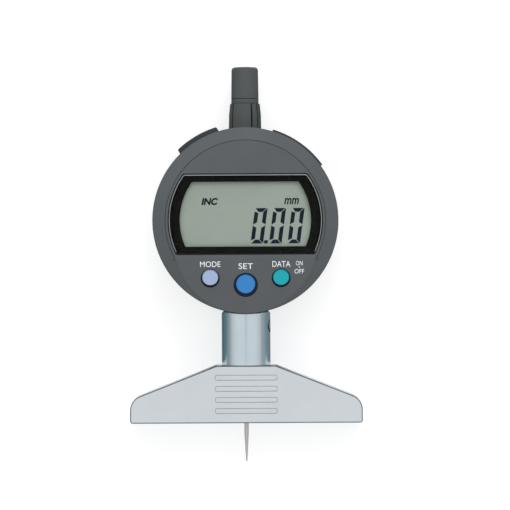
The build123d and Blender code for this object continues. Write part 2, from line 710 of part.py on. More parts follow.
def rear_case():
    case = case_ring() + spindle_bosses() + neck()
    case -= rod(STEM_R, 0, LOWER_BOSS_Y)
    case -= rod(BUSH_R, UPPER_BOSS_Y, NECK_TOP_Y + SPIGOT_L)
    case -= AT_TRAY * prism(bay_outline(BAY_HALF_W, 2 * CASE_R), BAY_LOW_Z, BAY_TOP_Z)
    case -= AT_PORT * socket_nose(2 * CASE_R)
    for place in contact_posts():
        case -= AT_TRAY * disc(CONTACT_POST_R, BAY_TOP_Z, SPLIT_Z, place)
    for place in rail_screw_places():
        case -= disc(RAIL_SCREW_R, BOSS_BACK_Z, BOSS_BACK_Z + RAIL_SCREW_L, place)
    for place in pillar_places():
        case -= AT_DIAL * disc(CASE_SCREW_R + CASE_SCREW_GAP, CASE_BACK_Z, SPLIT_Z, place)
    return case - case_gasket()


def case_gasket():
    outline = Circle(GASKET_IN_R + GASKET_W) - Circle(GASKET_IN_R)
    return AT_DIAL * prism(outline, SPLIT_Z - GASKET_T, SPLIT_Z)


def case_screw(place):
    head_z = BACK_Z + CASE_HEAD_SUNK
    neck_z = head_z + CASE_HEAD_T
    end_z = SPLIT_Z + CASE_SCREW_BITE
    outline = [(0, head_z), (CASE_HEAD_R, head_z), (CASE_SCREW_R, neck_z), (CASE_SCREW_R, end_z), (0, end_z)]
    return Pos(*place) * dished(outline)


def back_screws():
    return AT_DIAL * Compound([case_screw(place) for place in pillar_places()])


def back_cover():
    plate = disc(BACK_COVER_R, BACK_Z, CASE_BACK_Z)
    plate = chamfer(plate.edges().sort_by(Axis.Z)[0], BACK_COVER_EDGE)
    head_z = BACK_Z + CASE_HEAD_SUNK
    neck_z = head_z + CASE_HEAD_T
    flank = [(CASE_HEAD_R, BACK_Z), (CASE_HEAD_R, head_z), (CASE_SCREW_R, neck_z)]
    sink = dished([(0, BACK_Z), *flank, (0, neck_z)])
    for place in pillar_places():
        plate -= Pos(*place) * sink
        plate -= disc(CASE_SCREW_R, BACK_Z, CASE_BACK_Z, place)
    return AT_DIAL * plate


def spindle_cap():
    cavity_top = CAP_TOP_Y - CAP_WALL_TOP
    ring_y = NECK_TOP_Y + CAP_RING_UP
    ring_r = CAP_FOOT_R - CAP_RING_DEPTH
    outline = [
        (SPIGOT_R, NECK_TOP_Y),
        (CAP_FOOT_R, NECK_TOP_Y),
        (CAP_FOOT_R, ring_y - CAP_RING_W / 2),
        (ring_r, ring_y),
        (CAP_FOOT_R, ring_y + CAP_RING_W / 2),
        (CAP_TOP_R, CAP_TOP_Y),
        (0, CAP_TOP_Y),
        (0, cavity_top),
        (SPIGOT_R, cavity_top),
    ]
    cap = turned(outline)
    return fillet(cap.edges().sort_by(Axis.Y)[-1], CAP_ROUND)


# Spindle train


def spindle():
    shaft = rod(SPINDLE_R, SPINDLE_LOW_Y, SPINDLE_TOP_Y)
    shaft = chamfer(shaft.edges().sort_by(Axis.Y)[-1], SPINDLE_EDGE)
    return shaft - rod(NEEDLE_THREAD_R, SPINDLE_LOW_Y, SPINDLE_LOW_Y + NEEDLE_THREAD_L + SLIDE_GAP)


def needle_point():
    head_y = SPINDLE_LOW_Y - NEEDLE_HEAD_L
    thread_y = SPINDLE_LOW_Y + NEEDLE_THREAD_L
    return turned(
        [
            (0, -NEEDLE_OUT),
            (NEEDLE_TIP_R, -NEEDLE_OUT + NEEDLE_TIP_R),
            (NEEDLE_R, -NEEDLE_STRAIGHT),
            (NEEDLE_R, head_y),
            (NEEDLE_HEAD_R, head_y),
            (NEEDLE_HEAD_R, SPINDLE_LOW_Y),
            (NEEDLE_THREAD_R, SPINDLE_LOW_Y),
            (NEEDLE_THREAD_R, thread_y),
            (0, thread_y),
        ]
    )


def scale_carrier():
    side = (-CARRIER_HALF_W, CARRIER_HALF_W)
    body = block(side, (CARRIER_LOW_Y, CARRIER_TOP_Y), (CARRIER_BACK_Z, CARRIER_FRONT_Z))
    back_edges = body.edges().filter_by(Axis.Y).group_by(Axis.Z)[0]
    body = chamfer(back_edges, CARRIER_EDGE)
    body -= rod(SPINDLE_R, CARRIER_LOW_Y, CARRIER_TOP_Y)
    return body - disc(PIN_R, CARRIER_BACK_Z, -SPINDLE_R / 2, (0, PIN_Y))


def scale_plate():
    side = (-SCALE_HALF_W, SCALE_HALF_W)
    return block(side, (CARRIER_LOW_Y, CARRIER_TOP_Y), (CARRIER_FRONT_Z, SCALE_FRONT_Z))


def guide_pin():
    pin = disc(PIN_R, RAIL_BACK_Z, -SPINDLE_R / 2, (0, PIN_Y))
    return pin - rod(SPINDLE_R, CARRIER_LOW_Y, CARRIER_TOP_Y)


def rail_screw_places():
    """Two screws into each boss, one on each side of the spindle."""
    x = BOSS_HALF_W - RAIL_SCREW_EDGE
    heights = (LOWER_BOSS_Y - BOSS_L / 2, UPPER_BOSS_Y + BOSS_L / 2)
    return [(side * x, y) for y in heights for side in (-1, 1)]


def guide_rail():
    depth = (RAIL_BACK_Z, BOSS_BACK_Z)
    arm = (-BOSS_HALF_W, BOSS_HALF_W)
    low_y = LOWER_BOSS_Y - BOSS_L / 2
    high_y = UPPER_BOSS_Y + BOSS_L / 2
    rail = block((-RAIL_HALF_W, RAIL_HALF_W), (low_y, high_y), depth)
    for y in (low_y, high_y):
        rail += block(arm, (y - RAIL_SCREW_EDGE, y + RAIL_SCREW_EDGE), depth)
    rail &= AT_DIAL * disc(CASE_BORE_R - SEAT_GAP, *depth)
    slot_w = 2 * (PIN_R + PIN_GAP)
    slot = SlotOverall(TRAVEL + slot_w + 2 * RAIL_SLOT_SPARE, slot_w, rotation=90)
    rail -= prism(Pos(0, PIN_Y + TRAVEL / 2) * slot, *depth)
    for place in rail_screw_places():
        rail -= disc(RAIL_SCREW_R, RAIL_BACK_Z, BOSS_BACK_Z, place)
    return rail


def rail_screws():
    screws = []
    for place in rail_screw_places():
        head = disc(RAIL_HEAD_R, RAIL_BACK_Z - RAIL_HEAD_T, RAIL_BACK_Z, place)
        screws.append(head + disc(RAIL_SCREW_R, RAIL_BACK_Z, BOSS_BACK_Z + RAIL_SCREW_L, place))
    return Compound(screws)


def return_spring():
    low = CARRIER_TOP_Y + SPRING_WIRE_R
    high = UPPER_BOSS_Y - SPRING_WIRE_R
    path = Helix((high - low) / SPRING_TURNS, high - low, SPRING_R)
    wire = sweep(Plane(origin=path @ 0, z_dir=path % 0) * Circle(SPRING_WIRE_R), path=path)
    return Pos(0, low, 0) * Rot(X=-90) * wire


def stop_washer():
    return tube(STOP_R, STOP_BORE_R, LOWER_BOSS_Y, CARRIER_LOW_Y)


def upper_bush():
    return tube(BUSH_R, BUSH_BORE_R, UPPER_BOSS_Y, UPPER_BUSH_TOP_Y)


def lower_bush():
    return tube(BUSH_R, BUSH_BORE_R, STEM_LOW_Y, STEM_LOW_Y + LOWER_BUSH_L)


def stem():
    seat_y = STEM_LOW_Y + LOWER_BUSH_L
    return turned(
        [
            (BUSH_R, STEM_LOW_Y),
            (STEM_R, STEM_LOW_Y),
            (STEM_R, LOWER_BOSS_Y),
            (STEM_BORE_R, LOWER_BOSS_Y),
            (STEM_BORE_R, seat_y),
            (BUSH_R, seat_y),
        ]
    )


# Sleeve and base


def clamp_way(radius, low, high):
    """A cylinder outwards along the clamp screw's axis."""
    return AT_CLAMP * disc(radius, low, high)


def stem_sleeve():
    body = turned(
        [
            (BASE_HOLE_R, SPIGOT_LOW_Y),
            (SPIGOT_IN_BASE_R, SPIGOT_LOW_Y),
            (SPIGOT_IN_BASE_R, BASE_H),
            (SLEEVE_R, BASE_H),
            (SLEEVE_R, SLEEVE_TOP_Y),
            (SLEEVE_BORE_R, SLEEVE_TOP_Y),
            (SLEEVE_BORE_R, SLEEVE_FLOOR_Y),
            (BASE_HOLE_R, SLEEVE_FLOOR_Y),
        ]
    )
    rim = body.edges().filter_by(GeomType.CIRCLE).group_by(Axis.Y)[-1].sort_by(SortBy.RADIUS)[-1]
    return fillet(rim, SLEEVE_ROUND) - clamp_way(CLAMP_R, STEM_R / 2, 2 * SLEEVE_R)


def clamp_screw():
    end = SLEEVE_R - CLAMP_SUNK
    screw = disc(CLAMP_R, STEM_R, end)
    screw = chamfer(screw.edges().sort_by(Axis.Z)[-1], CLAMP_EDGE)
    screw -= prism(RegularPolygon(CLAMP_HEX / 2, 6, major_radius=False), end - CLAMP_HEX_DEPTH, end)
    return AT_CLAMP * screw


def base_outline():
    half = BASE_W / 2
    corners = [
        (-half, 0),
        (half, 0),
        (half, BASE_END_H),
        (BASE_TOP_W / 2, BASE_H),
        (-BASE_TOP_W / 2, BASE_H),
        (-half, BASE_END_H),
    ]
    face = make_face(Polyline(corners, close=True))
    ends = face.vertices().filter_by(lambda v: abs(v.X) > half - 0.01)
    face = fillet([v for v in ends if v.Y > 0.01], BASE_SHOULDER_R)
    feet = [v for v in face.vertices() if v.Y < 0.01 and abs(v.X) > half - 0.01]
    return fillet(feet, BASE_FOOT_R)


def measuring_base():
    body = prism(base_outline(), BACK_Z, BASE_FRONT_Z)
    rims = body.faces().filter_by(Axis.Z)
    body = chamfer([edge for face in rims for edge in face.edges()], BASE_EDGE)
    for i in range(GROOVE_COUNT):
        y = BASE_H - GROOVE_DOWN - GROOVE_H / 2 - i * GROOVE_PITCH
        groove = Pos(0, y) * RectangleRounded(GROOVE_W, GROOVE_H, GROOVE_ROUND)
        body -= prism(groove, BASE_FRONT_Z - GROOVE_DEPTH, BASE_FRONT_Z)
    front = body.faces().sort_by(Axis.Z)[-1]
    outline = front.outer_wire().edges()
    body = chamfer([edge for edge in front.edges() if edge not in outline], GROOVE_EDGE)
    body -= rod(SPIGOT_IN_BASE_R, SPIGOT_LOW_Y, BASE_H)
    return body - rod(BASE_HOLE_R, 0, BASE_H)


# Battery


def contact_posts():
    """Where the two battery contacts go up through the bay's roof."""
    return (0, CELL_AT_R), (0, CELL_AT_R - CELL_R - CONTACT_POST_R - CONTACT_GAP)


def tray_head(low_z, high_z):
    """The curved plate outside the case, a little larger than the slot behind it."""
    half_w = TRAY_HALF_W + TRAY_HEAD_SIDE
    head = block((-half_w, half_w), (CELL_AT_R, TRAY_FRONT_R), (low_z, high_z))
    head &= disc(TRAY_FRONT_R, low_z, high_z) - disc(CASE_R + TRAY_HEAD_GAP, low_z, high_z)
    return chamfer(head.edges().filter_by(Axis.Z).sort_by(SortBy.DISTANCE)[-2:], TRAY_CORNER)


def battery_tray():
    outline = bay_outline(TRAY_HALF_W, TRAY_FRONT_R)
    top_z = CELL_TOP_Z
    tray = prism(outline, TRAY_BACK_Z, top_z) & disc(TRAY_FRONT_R, TRAY_BACK_Z, top_z)
    tray += tray_head(TRAY_BACK_Z - TRAY_HEAD_SIDE, top_z + TRAY_HEAD_SIDE)
    tray -= disc(CELL_R + TRAY_FIT, CELL_LOW_Z, top_z, (0, CELL_AT_R))
    post_y = contact_posts()[1][1]
    half = CONTACT_NOTCH_HALF_W
    tray -= block((-half, half), (0, post_y + half), (CELL_LOW_Z, top_z))
    for i in range(TRAY_RIB_COUNT):
        z = (TRAY_BACK_Z + top_z) / 2 + (i - (TRAY_RIB_COUNT - 1) / 2) * 2 * TRAY_RIB_W
        groove = disc(2 * TRAY_FRONT_R, z - TRAY_RIB_W / 2, z + TRAY_RIB_W / 2)
        tray -= groove - disc(TRAY_FRONT_R - TRAY_RIB_DEPTH, z - TRAY_RIB_W / 2, z + TRAY_RIB_W / 2)
    return AT_TRAY * tray


def battery_cell():
    cell = disc(CELL_R, CELL_LOW_Z, CELL_TOP_Z, (0, CELL_AT_R))
    cell = chamfer(cell.edges().sort_by(Axis.Z)[-1], CELL_EDGE)
    return AT_TRAY * cell


def battery_contacts():
    leaf_z = CELL_TOP_Z + SLIDE_GAP
    centre, edge = contact_posts()
    leaf = prism(Pos(*centre) * Rectangle(CONTACT_LEAF_W, CONTACT_LEAF_W), leaf_z, leaf_z + CONTACT_T)
    top = leaf + disc(CONTACT_POST_R, leaf_z, BOARD_BACK_Z, centre)
    side = disc(CONTACT_POST_R, CELL_LOW_Z + CONTACT_T, BOARD_BACK_Z, edge)
    return AT_TRAY * Compound([top, side])


# Data socket


def socket_nose(end_r):
    """The part of the socket that stands in the case's wall, out to end_r."""
    half_w = SOCKET_HALF_W - SOCKET_NOSE_SIDE
    z = (SOCKET_LOW_Z + SOCKET_NOSE_STEP, SOCKET_TOP_Z - SOCKET_NOSE_STEP)
    return block((-half_w, half_w), (SOCKET_STEP_R, end_r), z)


def socket_room():
    """The open mouth of the socket."""
    half_w = SOCKET_HALF_W - SOCKET_NOSE_SIDE - SOCKET_WALL
    rim = SOCKET_NOSE_STEP + SOCKET_WALL
    z = (SOCKET_LOW_Z + rim, SOCKET_TOP_Z - rim)
    return (-half_w, half_w), (SOCKET_NOSE_R - SOCKET_DEPTH, SOCKET_NOSE_R), z


def data_connector():
    body = block((-SOCKET_HALF_W, SOCKET_HALF_W), (SOCKET_IN_R, SOCKET_STEP_R), (SOCKET_LOW_Z, SOCKET_TOP_Z))
    body += socket_nose(SOCKET_NOSE_R)
    return AT_PORT * (body - block(*socket_room()))


def connector_pins():
    pins = []
    for i in range(CONTACT_COUNT):
        x = (i - (CONTACT_COUNT - 1) / 2) * CONTACT_PITCH
        pins.append(disc(CONTACT_PIN_R, SOCKET_TOP_Z, BOARD_BACK_Z, (x, SOCKET_IN_R + CONTACT_PIN_IN)))
    return AT_PORT * Compound(pins)


def port_cover():
    inner_r = CASE_R + PORT_COVER_GAP
    ring = Circle(PORT_COVER_R) - Circle(inner_r)
    half = radians(PORT_COVER_HALF_ANGLE)
    reach = 2 * PORT_COVER_R
    left = (-reach * sin(half), reach * cos(half))
    right = (reach * sin(half), reach * cos(half))
    sector = make_face(Polyline([(0, 0), right, left], close=True))
    lid = prism(ring & sector, PORT_COVER_LOW_Z, PORT_COVER_TOP_Z)
    side, depth, z = socket_room()
    tongue = block(
        (side[0] + TONGUE_PLAY, side[1] - TONGUE_PLAY),
        (depth[1] - TONGUE_L, inner_r + (PORT_COVER_R - inner_r) / 2),
        (z[0] + TONGUE_PLAY, z[1] - TONGUE_PLAY),
    )
    return AT_PORT * (lid + tongue)


def parts():
    """Every node's name and shape."""
    yield "front_cover", front_cover()
    yield "display_window", display_window()
    yield "display_mask", display_mask()
    yield "lcd_panel", lcd_panel()
    yield "display_frame", display_frame()
    yield "elastomer_strips", elastomer_strips()
    for name, place, cap_r, hole_r in key_places():
        yield name, key(place, cap_r, hole_r)
    yield "keypad_membrane", keypad_membrane()
    yield "circuit_board", circuit_board()
    yield "board_components", board_components()
    yield "board_screws", board_screws()
    yield "reader_head", reader_head()
    yield "rear_case", rear_case()
    yield "case_gasket", case_gasket()
    yield "back_cover", back_cover()
    yield "back_screws", back_screws()
    yield "spindle_cap", spindle_cap()
    yield "spindle", spindle()
    yield "needle_point", needle_point()
    yield "scale_carrier", scale_carrier()
    yield "scale_plate", scale_plate()
    yield "guide_pin", guide_pin()
    yield "guide_rail", guide_rail()
    yield "rail_screws", rail_screws()
    yield "return_spring", return_spring()
    yield "stop_washer", stop_washer()
    yield "upper_bush", upper_bush()
    yield "lower_bush", lower_bush()
    yield "stem", stem()
    yield "stem_sleeve", stem_sleeve()
    yield "clamp_screw", clamp_screw()
    yield "measuring_base", measuring_base()
    yield "battery_tray", battery_tray()
    yield "battery_cell", battery_cell()
    yield "battery_contacts", battery_contacts()
    yield "data_connector", data_connector()
    yield "connector_pins", connector_pins()
    yield "port_cover", port_cover()


os.makedirs("parts", exist_ok=True)
for node, shape in parts():
    export_step(shape, f"parts/{node}.step")
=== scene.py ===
# %% [markdown]
# # A digital depth gauge, dressed and lit
#
# The gauge comes in as a finished CAD frame: every solid is already in place. This script gives
# each solid a surface, adds what is too thin for the CAD model, such as the print round the keys
# and the figures in the display, and then sets up the floor, the light and the camera.
#
# The frame is loaded first. Its box is kept, and the floor and the cards are placed from it.

# %% Load the frame
import json
from math import radians, tan

import bmesh
import bpy
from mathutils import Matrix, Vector

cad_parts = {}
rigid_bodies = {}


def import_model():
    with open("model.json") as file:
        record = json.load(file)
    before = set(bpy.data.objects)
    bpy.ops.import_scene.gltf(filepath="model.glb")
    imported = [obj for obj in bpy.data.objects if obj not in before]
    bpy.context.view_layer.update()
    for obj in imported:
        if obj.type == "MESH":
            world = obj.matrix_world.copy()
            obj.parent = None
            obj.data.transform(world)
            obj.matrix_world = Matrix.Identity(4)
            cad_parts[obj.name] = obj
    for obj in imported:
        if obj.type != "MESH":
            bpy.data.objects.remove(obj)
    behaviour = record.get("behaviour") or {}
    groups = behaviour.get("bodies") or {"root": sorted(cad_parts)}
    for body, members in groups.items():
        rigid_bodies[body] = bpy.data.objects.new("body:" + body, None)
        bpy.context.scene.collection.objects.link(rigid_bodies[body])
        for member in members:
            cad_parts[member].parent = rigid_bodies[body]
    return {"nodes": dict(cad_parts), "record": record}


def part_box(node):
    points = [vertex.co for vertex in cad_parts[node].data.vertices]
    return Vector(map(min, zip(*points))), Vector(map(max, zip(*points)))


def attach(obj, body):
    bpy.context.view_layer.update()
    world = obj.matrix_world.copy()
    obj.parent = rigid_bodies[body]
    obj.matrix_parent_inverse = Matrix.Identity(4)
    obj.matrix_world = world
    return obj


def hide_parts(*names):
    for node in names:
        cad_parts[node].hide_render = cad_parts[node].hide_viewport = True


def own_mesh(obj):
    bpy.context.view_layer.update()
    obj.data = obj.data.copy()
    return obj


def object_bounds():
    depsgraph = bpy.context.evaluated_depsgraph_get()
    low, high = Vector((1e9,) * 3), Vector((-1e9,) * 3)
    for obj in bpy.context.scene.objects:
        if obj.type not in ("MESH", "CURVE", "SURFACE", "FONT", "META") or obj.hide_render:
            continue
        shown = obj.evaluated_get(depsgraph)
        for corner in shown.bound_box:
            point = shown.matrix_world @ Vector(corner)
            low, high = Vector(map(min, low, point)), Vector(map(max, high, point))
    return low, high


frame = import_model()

cad_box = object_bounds()
print("CAD box in m:", [[round(value, 5) for value in corner] for corner in cad_box])

# %% [markdown]
# ## Where things are
#
# Blender works in metres and a maker thinks of this gauge in millimetres, so one constant turns
# one into the other. The places that the added pieces need are read from the solids that carry
# them: the display's figures lie on the glass, and the key names lie on the tilted panel. Read
# like this, they still fit when the CAD model changes. Everything on the dial is placed from its
# centre, which is that of the round plate at the back.

# %% Millimetres and the centre of the dial
MM = 0.001


def middle(node):
    low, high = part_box(node)
    return (low + high) / 2


DIAL = middle("back_cover")
print("centre of the dial in mm:", [round(value / MM, 2) for value in DIAL])

# %% [markdown]
# ## Small tools for nodes
#
# Materials and the sky are built from nodes, and three chores come back again and again. Colours
# are written as a picture program shows them, from 0 to 255, and turned into the linear values
# that the renderer wants. A Math node gets its inputs either from other nodes or as plain numbers.
# A colour ramp comes with two stops of its own, which are taken out once the wanted ones are in.

# %% Colours, sums and ramps
def paint(red, green, blue):
    """A colour as a picture program shows it, as linear red, green, blue and alpha."""
    def linear(value):
        share = value / 255
        return share / 12.92 if share <= 0.04045 else ((share + 0.055) / 1.055) ** 2.4
    return (linear(red), linear(green), linear(blue), 1.0)


def shaded(colour, factor):
    return tuple(min(1.0, channel * factor) for channel in colour[:3]) + (1.0,)


def calculate(tree, operation, *inputs):
    """A Math node. Each input is another node's output or a number."""
    node = tree.nodes.new("ShaderNodeMath")
    node.operation = operation
    for socket, value in zip(node.inputs, inputs):
        if isinstance(value, bpy.types.NodeSocket):
            tree.links.new(value, socket)
        else:
            socket.default_value = value
    return node.outputs["Value"]


def ramp(tree, factor, stops):
    """A colour ramp with a colour at each of these positions."""
    node = tree.nodes.new("ShaderNodeValToRGB")
    elements = node.color_ramp.elements
    for position, colour in stops.items():
        elements.new(position).color = colour
    for spare in (elements[-1], elements[0]):
        elements.remove(spare)
    tree.links.new(factor, node.inputs["Fac"])
    return node.outputs["Color"]


# %% [markdown]
# ## How a finish is made
#
# Nothing real has one flat colour and one flat gloss. Every finish here starts from a Principled
# shader and gets three things from a noise pattern: a slight change of tone, a slight change of
# roughness, and a low relief. The noise reads Object coordinates. The solids all have their
# origin at the same point and are not scaled, so one metre of pattern is one metre of gauge, and
# the grain has the same size on every piece. A noise seldom leaves the middle of its span, so
# that middle part is spread over the whole range of tone and roughness.
#
# The pattern can be stretched. Squeezed along one axis it becomes the fine lines that a grinding
# wheel or a lathe leaves, and left alone it is the fine sand of moulded plastic.
#
# Grooves and narrow gaps get painted shade. An Ambient Occlusion node tells how open a point is,
# and a power of it mixes the colour with a much darker one where a neighbour is close: the shade
# that falls there is painted into the colour.

# %% The finish class
NOISE_LOW, NOISE_HIGH = 0.3, 0.7
# Samples and contrast of the painted shade in crevices.
CREVICE_SAMPLES = 8
CREVICE_CONTRAST = 3.0


class Finish:
    """A Principled material with short words for the nodes that feed it."""

    def __init__(self, name, metal=0.0, gloss=0.5):
        self.material = bpy.data.materials.new(name)
        self.material.use_nodes = True
        self.tree = self.material.node_tree
        self.nodes = self.tree.nodes
        self.links = self.tree.links
        self.shader = self.nodes["Principled BSDF"]
        self.shader.inputs["Metallic"].default_value = metal
        self.shader.inputs["Specular IOR Level"].default_value = gloss
        self.place = self.nodes.new("ShaderNodeTexCoord").outputs["Object"]

    def mapped(self, stretch=(1, 1, 1), offset=(0, 0, 0)):
        """Object coordinates, stretched and then moved."""
        node = self.nodes.new("ShaderNodeMapping")
        node.inputs["Scale"].default_value = stretch
        node.inputs["Location"].default_value = offset
        self.links.new(self.place, node.inputs["Vector"])
        return node.outputs["Vector"]

    def noise(self, grain, stretch=(1, 1, 1), detail=2.0):
        """A noise whose patches are about as wide as the grain, in metres."""
        node = self.nodes.new("ShaderNodeTexNoise")
        node.inputs["Scale"].default_value = 1 / grain
        node.inputs["Detail"].default_value = detail
        self.links.new(self.mapped(stretch), node.inputs["Vector"])
        return node.outputs["Fac"]

    def colour(self, pattern, low, high, between=(NOISE_LOW, NOISE_HIGH)):
        """The base colour goes from one tone to the other with the pattern."""
        tone = ramp(self.tree, pattern, dict(zip(between, (low, high))))
        self.links.new(tone, self.shader.inputs["Base Color"])

    def paint_crevice_shade(self, dark, reach):
        """Painted shade: the colour darkens in grooves and gaps, where something else is near."""
        near = self.nodes.new("ShaderNodeAmbientOcclusion")
        near.inputs["Distance"].default_value = reach
        near.samples = CREVICE_SAMPLES
        openness = calculate(self.tree, "POWER", near.outputs["AO"], CREVICE_CONTRAST)
        mix = self.nodes.new("ShaderNodeMix")
        mix.data_type = "RGBA"
        mix.inputs["A"].default_value = dark
        base = self.shader.inputs["Base Color"]
        self.links.new(base.links[0].from_socket, mix.inputs["B"])
        self.links.new(openness, mix.inputs["Factor"])
        self.links.new(mix.outputs["Result"], base)

    def roughness(self, pattern, low, high):
        span = self.nodes.new("ShaderNodeMapRange")
        span.inputs["From Min"].default_value = NOISE_LOW
        span.inputs["From Max"].default_value = NOISE_HIGH
        span.inputs["To Min"].default_value = low
        span.inputs["To Max"].default_value = high
        self.links.new(pattern, span.inputs["Value"])
        self.links.new(span.outputs["Result"], self.shader.inputs["Roughness"])

    def relief(self, pattern, height):
        """A bump as high as that, in metres."""
        bump = self.nodes.new("ShaderNodeBump")
        bump.inputs["Distance"].default_value = height
        self.links.new(pattern, bump.inputs["Height"])
        self.links.new(bump.outputs["Normal"], self.shader.inputs["Normal"])


# %% [markdown]
# ## Moulded plastic, rubber and print
#
# The housing is a dark grey moulding with the fine, even sparkle of an eroded mould. It is nearly
# matt, so its gloss is low and its roughness high, and the relief is only some thousandths of a
# millimetre. The same recipe with other tones and grains serves the rear case, the tray, the
# rubber pieces and the printed figures. One function holds the recipe, and each piece gets its
# own call, because the grain of a soft rubber is wider than that of a hard moulding. Only the
# housing and the case get painted shade in their crevices; their calls give how far it reaches.

# %% Finishes for plastics and rubber
MOULDED_CLOUD = 14 * MM
# How dark the painted shade in crevices is, as a share of the colour.
CREVICE_SHADE_SHARE = 0.04


def moulded(name, colour, grain=0.35 * MM, height=0.006 * MM, rough=(0.5, 0.62), gloss=0.35,
            change=0.1, shade_reach=0):
    finish = Finish(name, gloss=gloss)
    sand = finish.noise(grain)
    cloud = finish.noise(MOULDED_CLOUD, detail=3.0)
    finish.colour(cloud, shaded(colour, 1 - change), shaded(colour, 1 + change))
    # Painted shade in grooves and gaps, out to the given reach.
    if shade_reach:
        finish.paint_crevice_shade(shaded(colour, CREVICE_SHADE_SHARE), shade_reach)
    finish.roughness(sand, *rough)
    finish.relief(sand, height)
    return finish.material


SURFACES = {
    # The housing and the case get painted shade in their crevices.
    "housing": moulded("housing_grey", paint(80, 84, 86), change=0.05, shade_reach=0.8 * MM),
    "case": moulded("case_grey", paint(74, 77, 76), grain=0.5 * MM, gloss=0.3, change=0.06,
                    shade_reach=0.35 * MM),
    "mask": moulded("mask_black", paint(11, 12, 9), height=0.001 * MM, gloss=0.1),
    "frame": moulded("frame_white", paint(226, 226, 220), grain=0.8 * MM),
    "strip": moulded("strip_rubber", paint(206, 176, 180), grain=0.25 * MM, rough=(0.6, 0.8)),
    "keypad": moulded("keypad_silicone", paint(98, 99, 104), grain=1.2 * MM, rough=(0.55, 0.75)),
    "chip": moulded("chip_black", paint(34, 34, 37), grain=0.2 * MM, rough=(0.45, 0.6)),
    "seal": moulded("seal_black", paint(30, 30, 31), grain=0.6 * MM, rough=(0.6, 0.8)),
    "tray": moulded("tray_near_black", paint(54, 57, 60), grain=0.4 * MM),
    "lid": moulded("lid_elastomer", paint(66, 65, 62), grain=0.7 * MM, rough=(0.58, 0.72)),
}
INK_WHITE = moulded("ink_white", paint(236, 238, 240), grain=0.2 * MM, height=0.001 * MM,
                    change=0.02)
LCD_INK = moulded("segment_ink", paint(22, 30, 42), grain=0.3 * MM, height=0.0005 * MM,
                  gloss=0.1, change=0.15)
print("plastics and rubbers:", len(SURFACES))

# %% [markdown]
# ## The keys and their dark rings
#
# Each key is one piece of plastic: a bright cap and a skirt round it, which shows as a thin dark
# navy ring. The ring's colour is partly the skirt's own navy and partly painted shade, that of the
# gap and of the skirt's flank. Two materials on one mesh would need the faces picked apart. It is
# simpler to let the colour look at its own distance from the middle of the key: inside the cap's
# edge it is bright, outside it is the dark navy. The Mapping node moves the middle to zero and
# flattens Z, so that the distance is measured as it is seen from the front.

# %% Keys with a navy ring and painted shade
SMALL_CAP_R = 2.54 * MM
BIG_CAP_R = 2.98 * MM
CAP_BLUR = 0.05 * MM
CAP_EDGE = (0.4, 0.6)
# Dark navy of the ring: partly the skirt's own colour, partly painted shade of the gap.
SKIRT_NAVY_AND_SHADE = paint(8, 18, 56)
KEY_GRAIN = 0.4 * MM
KEY_ROUGH = (0.32, 0.42)
KEY_RELIEF = 0.002 * MM


def key_with_shaded_ring(name, node, cap_radius, cap):
    finish = Finish(name, gloss=0.3)
    at = middle(node)
    centred = finish.mapped(stretch=(1, 1, 0), offset=(-at.x, -at.y, 0))
    distance = finish.nodes.new("ShaderNodeVectorMath")
    distance.operation = "LENGTH"
    finish.links.new(centred, distance.inputs[0])
    outside = finish.nodes.new("ShaderNodeMapRange")
    outside.inputs["From Min"].default_value = cap_radius
    outside.inputs["From Max"].default_value = cap_radius + CAP_BLUR
    finish.links.new(distance.outputs["Value"], outside.inputs["Value"])
    # Outside the cap, the ring's dark navy: skirt colour and painted shade.
    finish.colour(outside.outputs["Result"], cap, SKIRT_NAVY_AND_SHADE, between=CAP_EDGE)
    sand = finish.noise(KEY_GRAIN)
    finish.roughness(sand, *KEY_ROUGH)
    finish.relief(sand, KEY_RELIEF)
    return finish.material


SURFACES.update({
    "key_grey": key_with_shaded_ring("key_pale_blue", "mode_button", SMALL_CAP_R, paint(157, 173, 203)),
    "key_blue": key_with_shaded_ring("key_blue", "set_button", BIG_CAP_R, paint(46, 124, 188)),
    "key_teal": key_with_shaded_ring("key_teal", "data_button", SMALL_CAP_R, paint(4, 160, 170)),
})
print("finishes with the keys:", len(SURFACES))

# %% [markdown]
# ## Metal
#
# A metal has almost no colour of its own: what is seen is the room, dulled by fine lines. The
# lines tell how the piece was made. The base was ground, so its lines run along its length. The
# sleeve, the spindle and the needle were turned, so their lines run round the Y axis, and a noise
# that is stretched out in X and Z and changes quickly only along Y gives exactly that. Plated and
# rolled pieces get a plain, fine cloud.

# %% Finishes for metals
GROUND = (0.04, 1, 1)
TURNED = (0.02, 1, 0.02)
MILLED = (1, 0.04, 1)
METAL_CLOUD = 9 * MM


def metal(name, colour, lines=(1, 1, 1), grain=0.12 * MM, rough=(0.26, 0.38), height=0.0012 * MM,
          change=0.05):
    finish = Finish(name, metal=1.0)
    fine = finish.noise(grain, stretch=lines, detail=3.0)
    cloud = finish.noise(METAL_CLOUD)
    finish.colour(cloud, shaded(colour, 1 - change), shaded(colour, 1 + change))
    finish.roughness(fine, *rough)
    finish.relief(fine, height)
    return finish.material


SURFACES.update({
    "base": metal("base_ground_steel", paint(206, 210, 213), lines=GROUND, rough=(0.3, 0.4),
                  change=0.015),
    "sleeve": metal("sleeve_turned", paint(189, 200, 205), lines=TURNED, rough=(0.16, 0.22),
                    change=0.02),
    "spindle": metal("spindle_ground", paint(196, 197, 199), lines=TURNED, rough=(0.18, 0.28)),
    "needle": metal("needle_hardened", paint(178, 178, 172), lines=TURNED, rough=(0.25, 0.35)),
    "screw": metal("screw_zinc", paint(188, 189, 192), rough=(0.25, 0.36)),
    "brass": metal("brass_turned", paint(214, 180, 108), lines=TURNED, rough=(0.24, 0.34)),
    "contact": metal("contact_gold", paint(230, 190, 104), rough=(0.2, 0.3)),
    "carrier": metal("carrier_milled", paint(208, 210, 213), lines=MILLED, rough=(0.3, 0.42)),
    "cell": metal("cell_nickel", paint(208, 208, 204), grain=0.3 * MM, rough=(0.2, 0.3)),
})
print("finishes with the metals:", len(SURFACES))

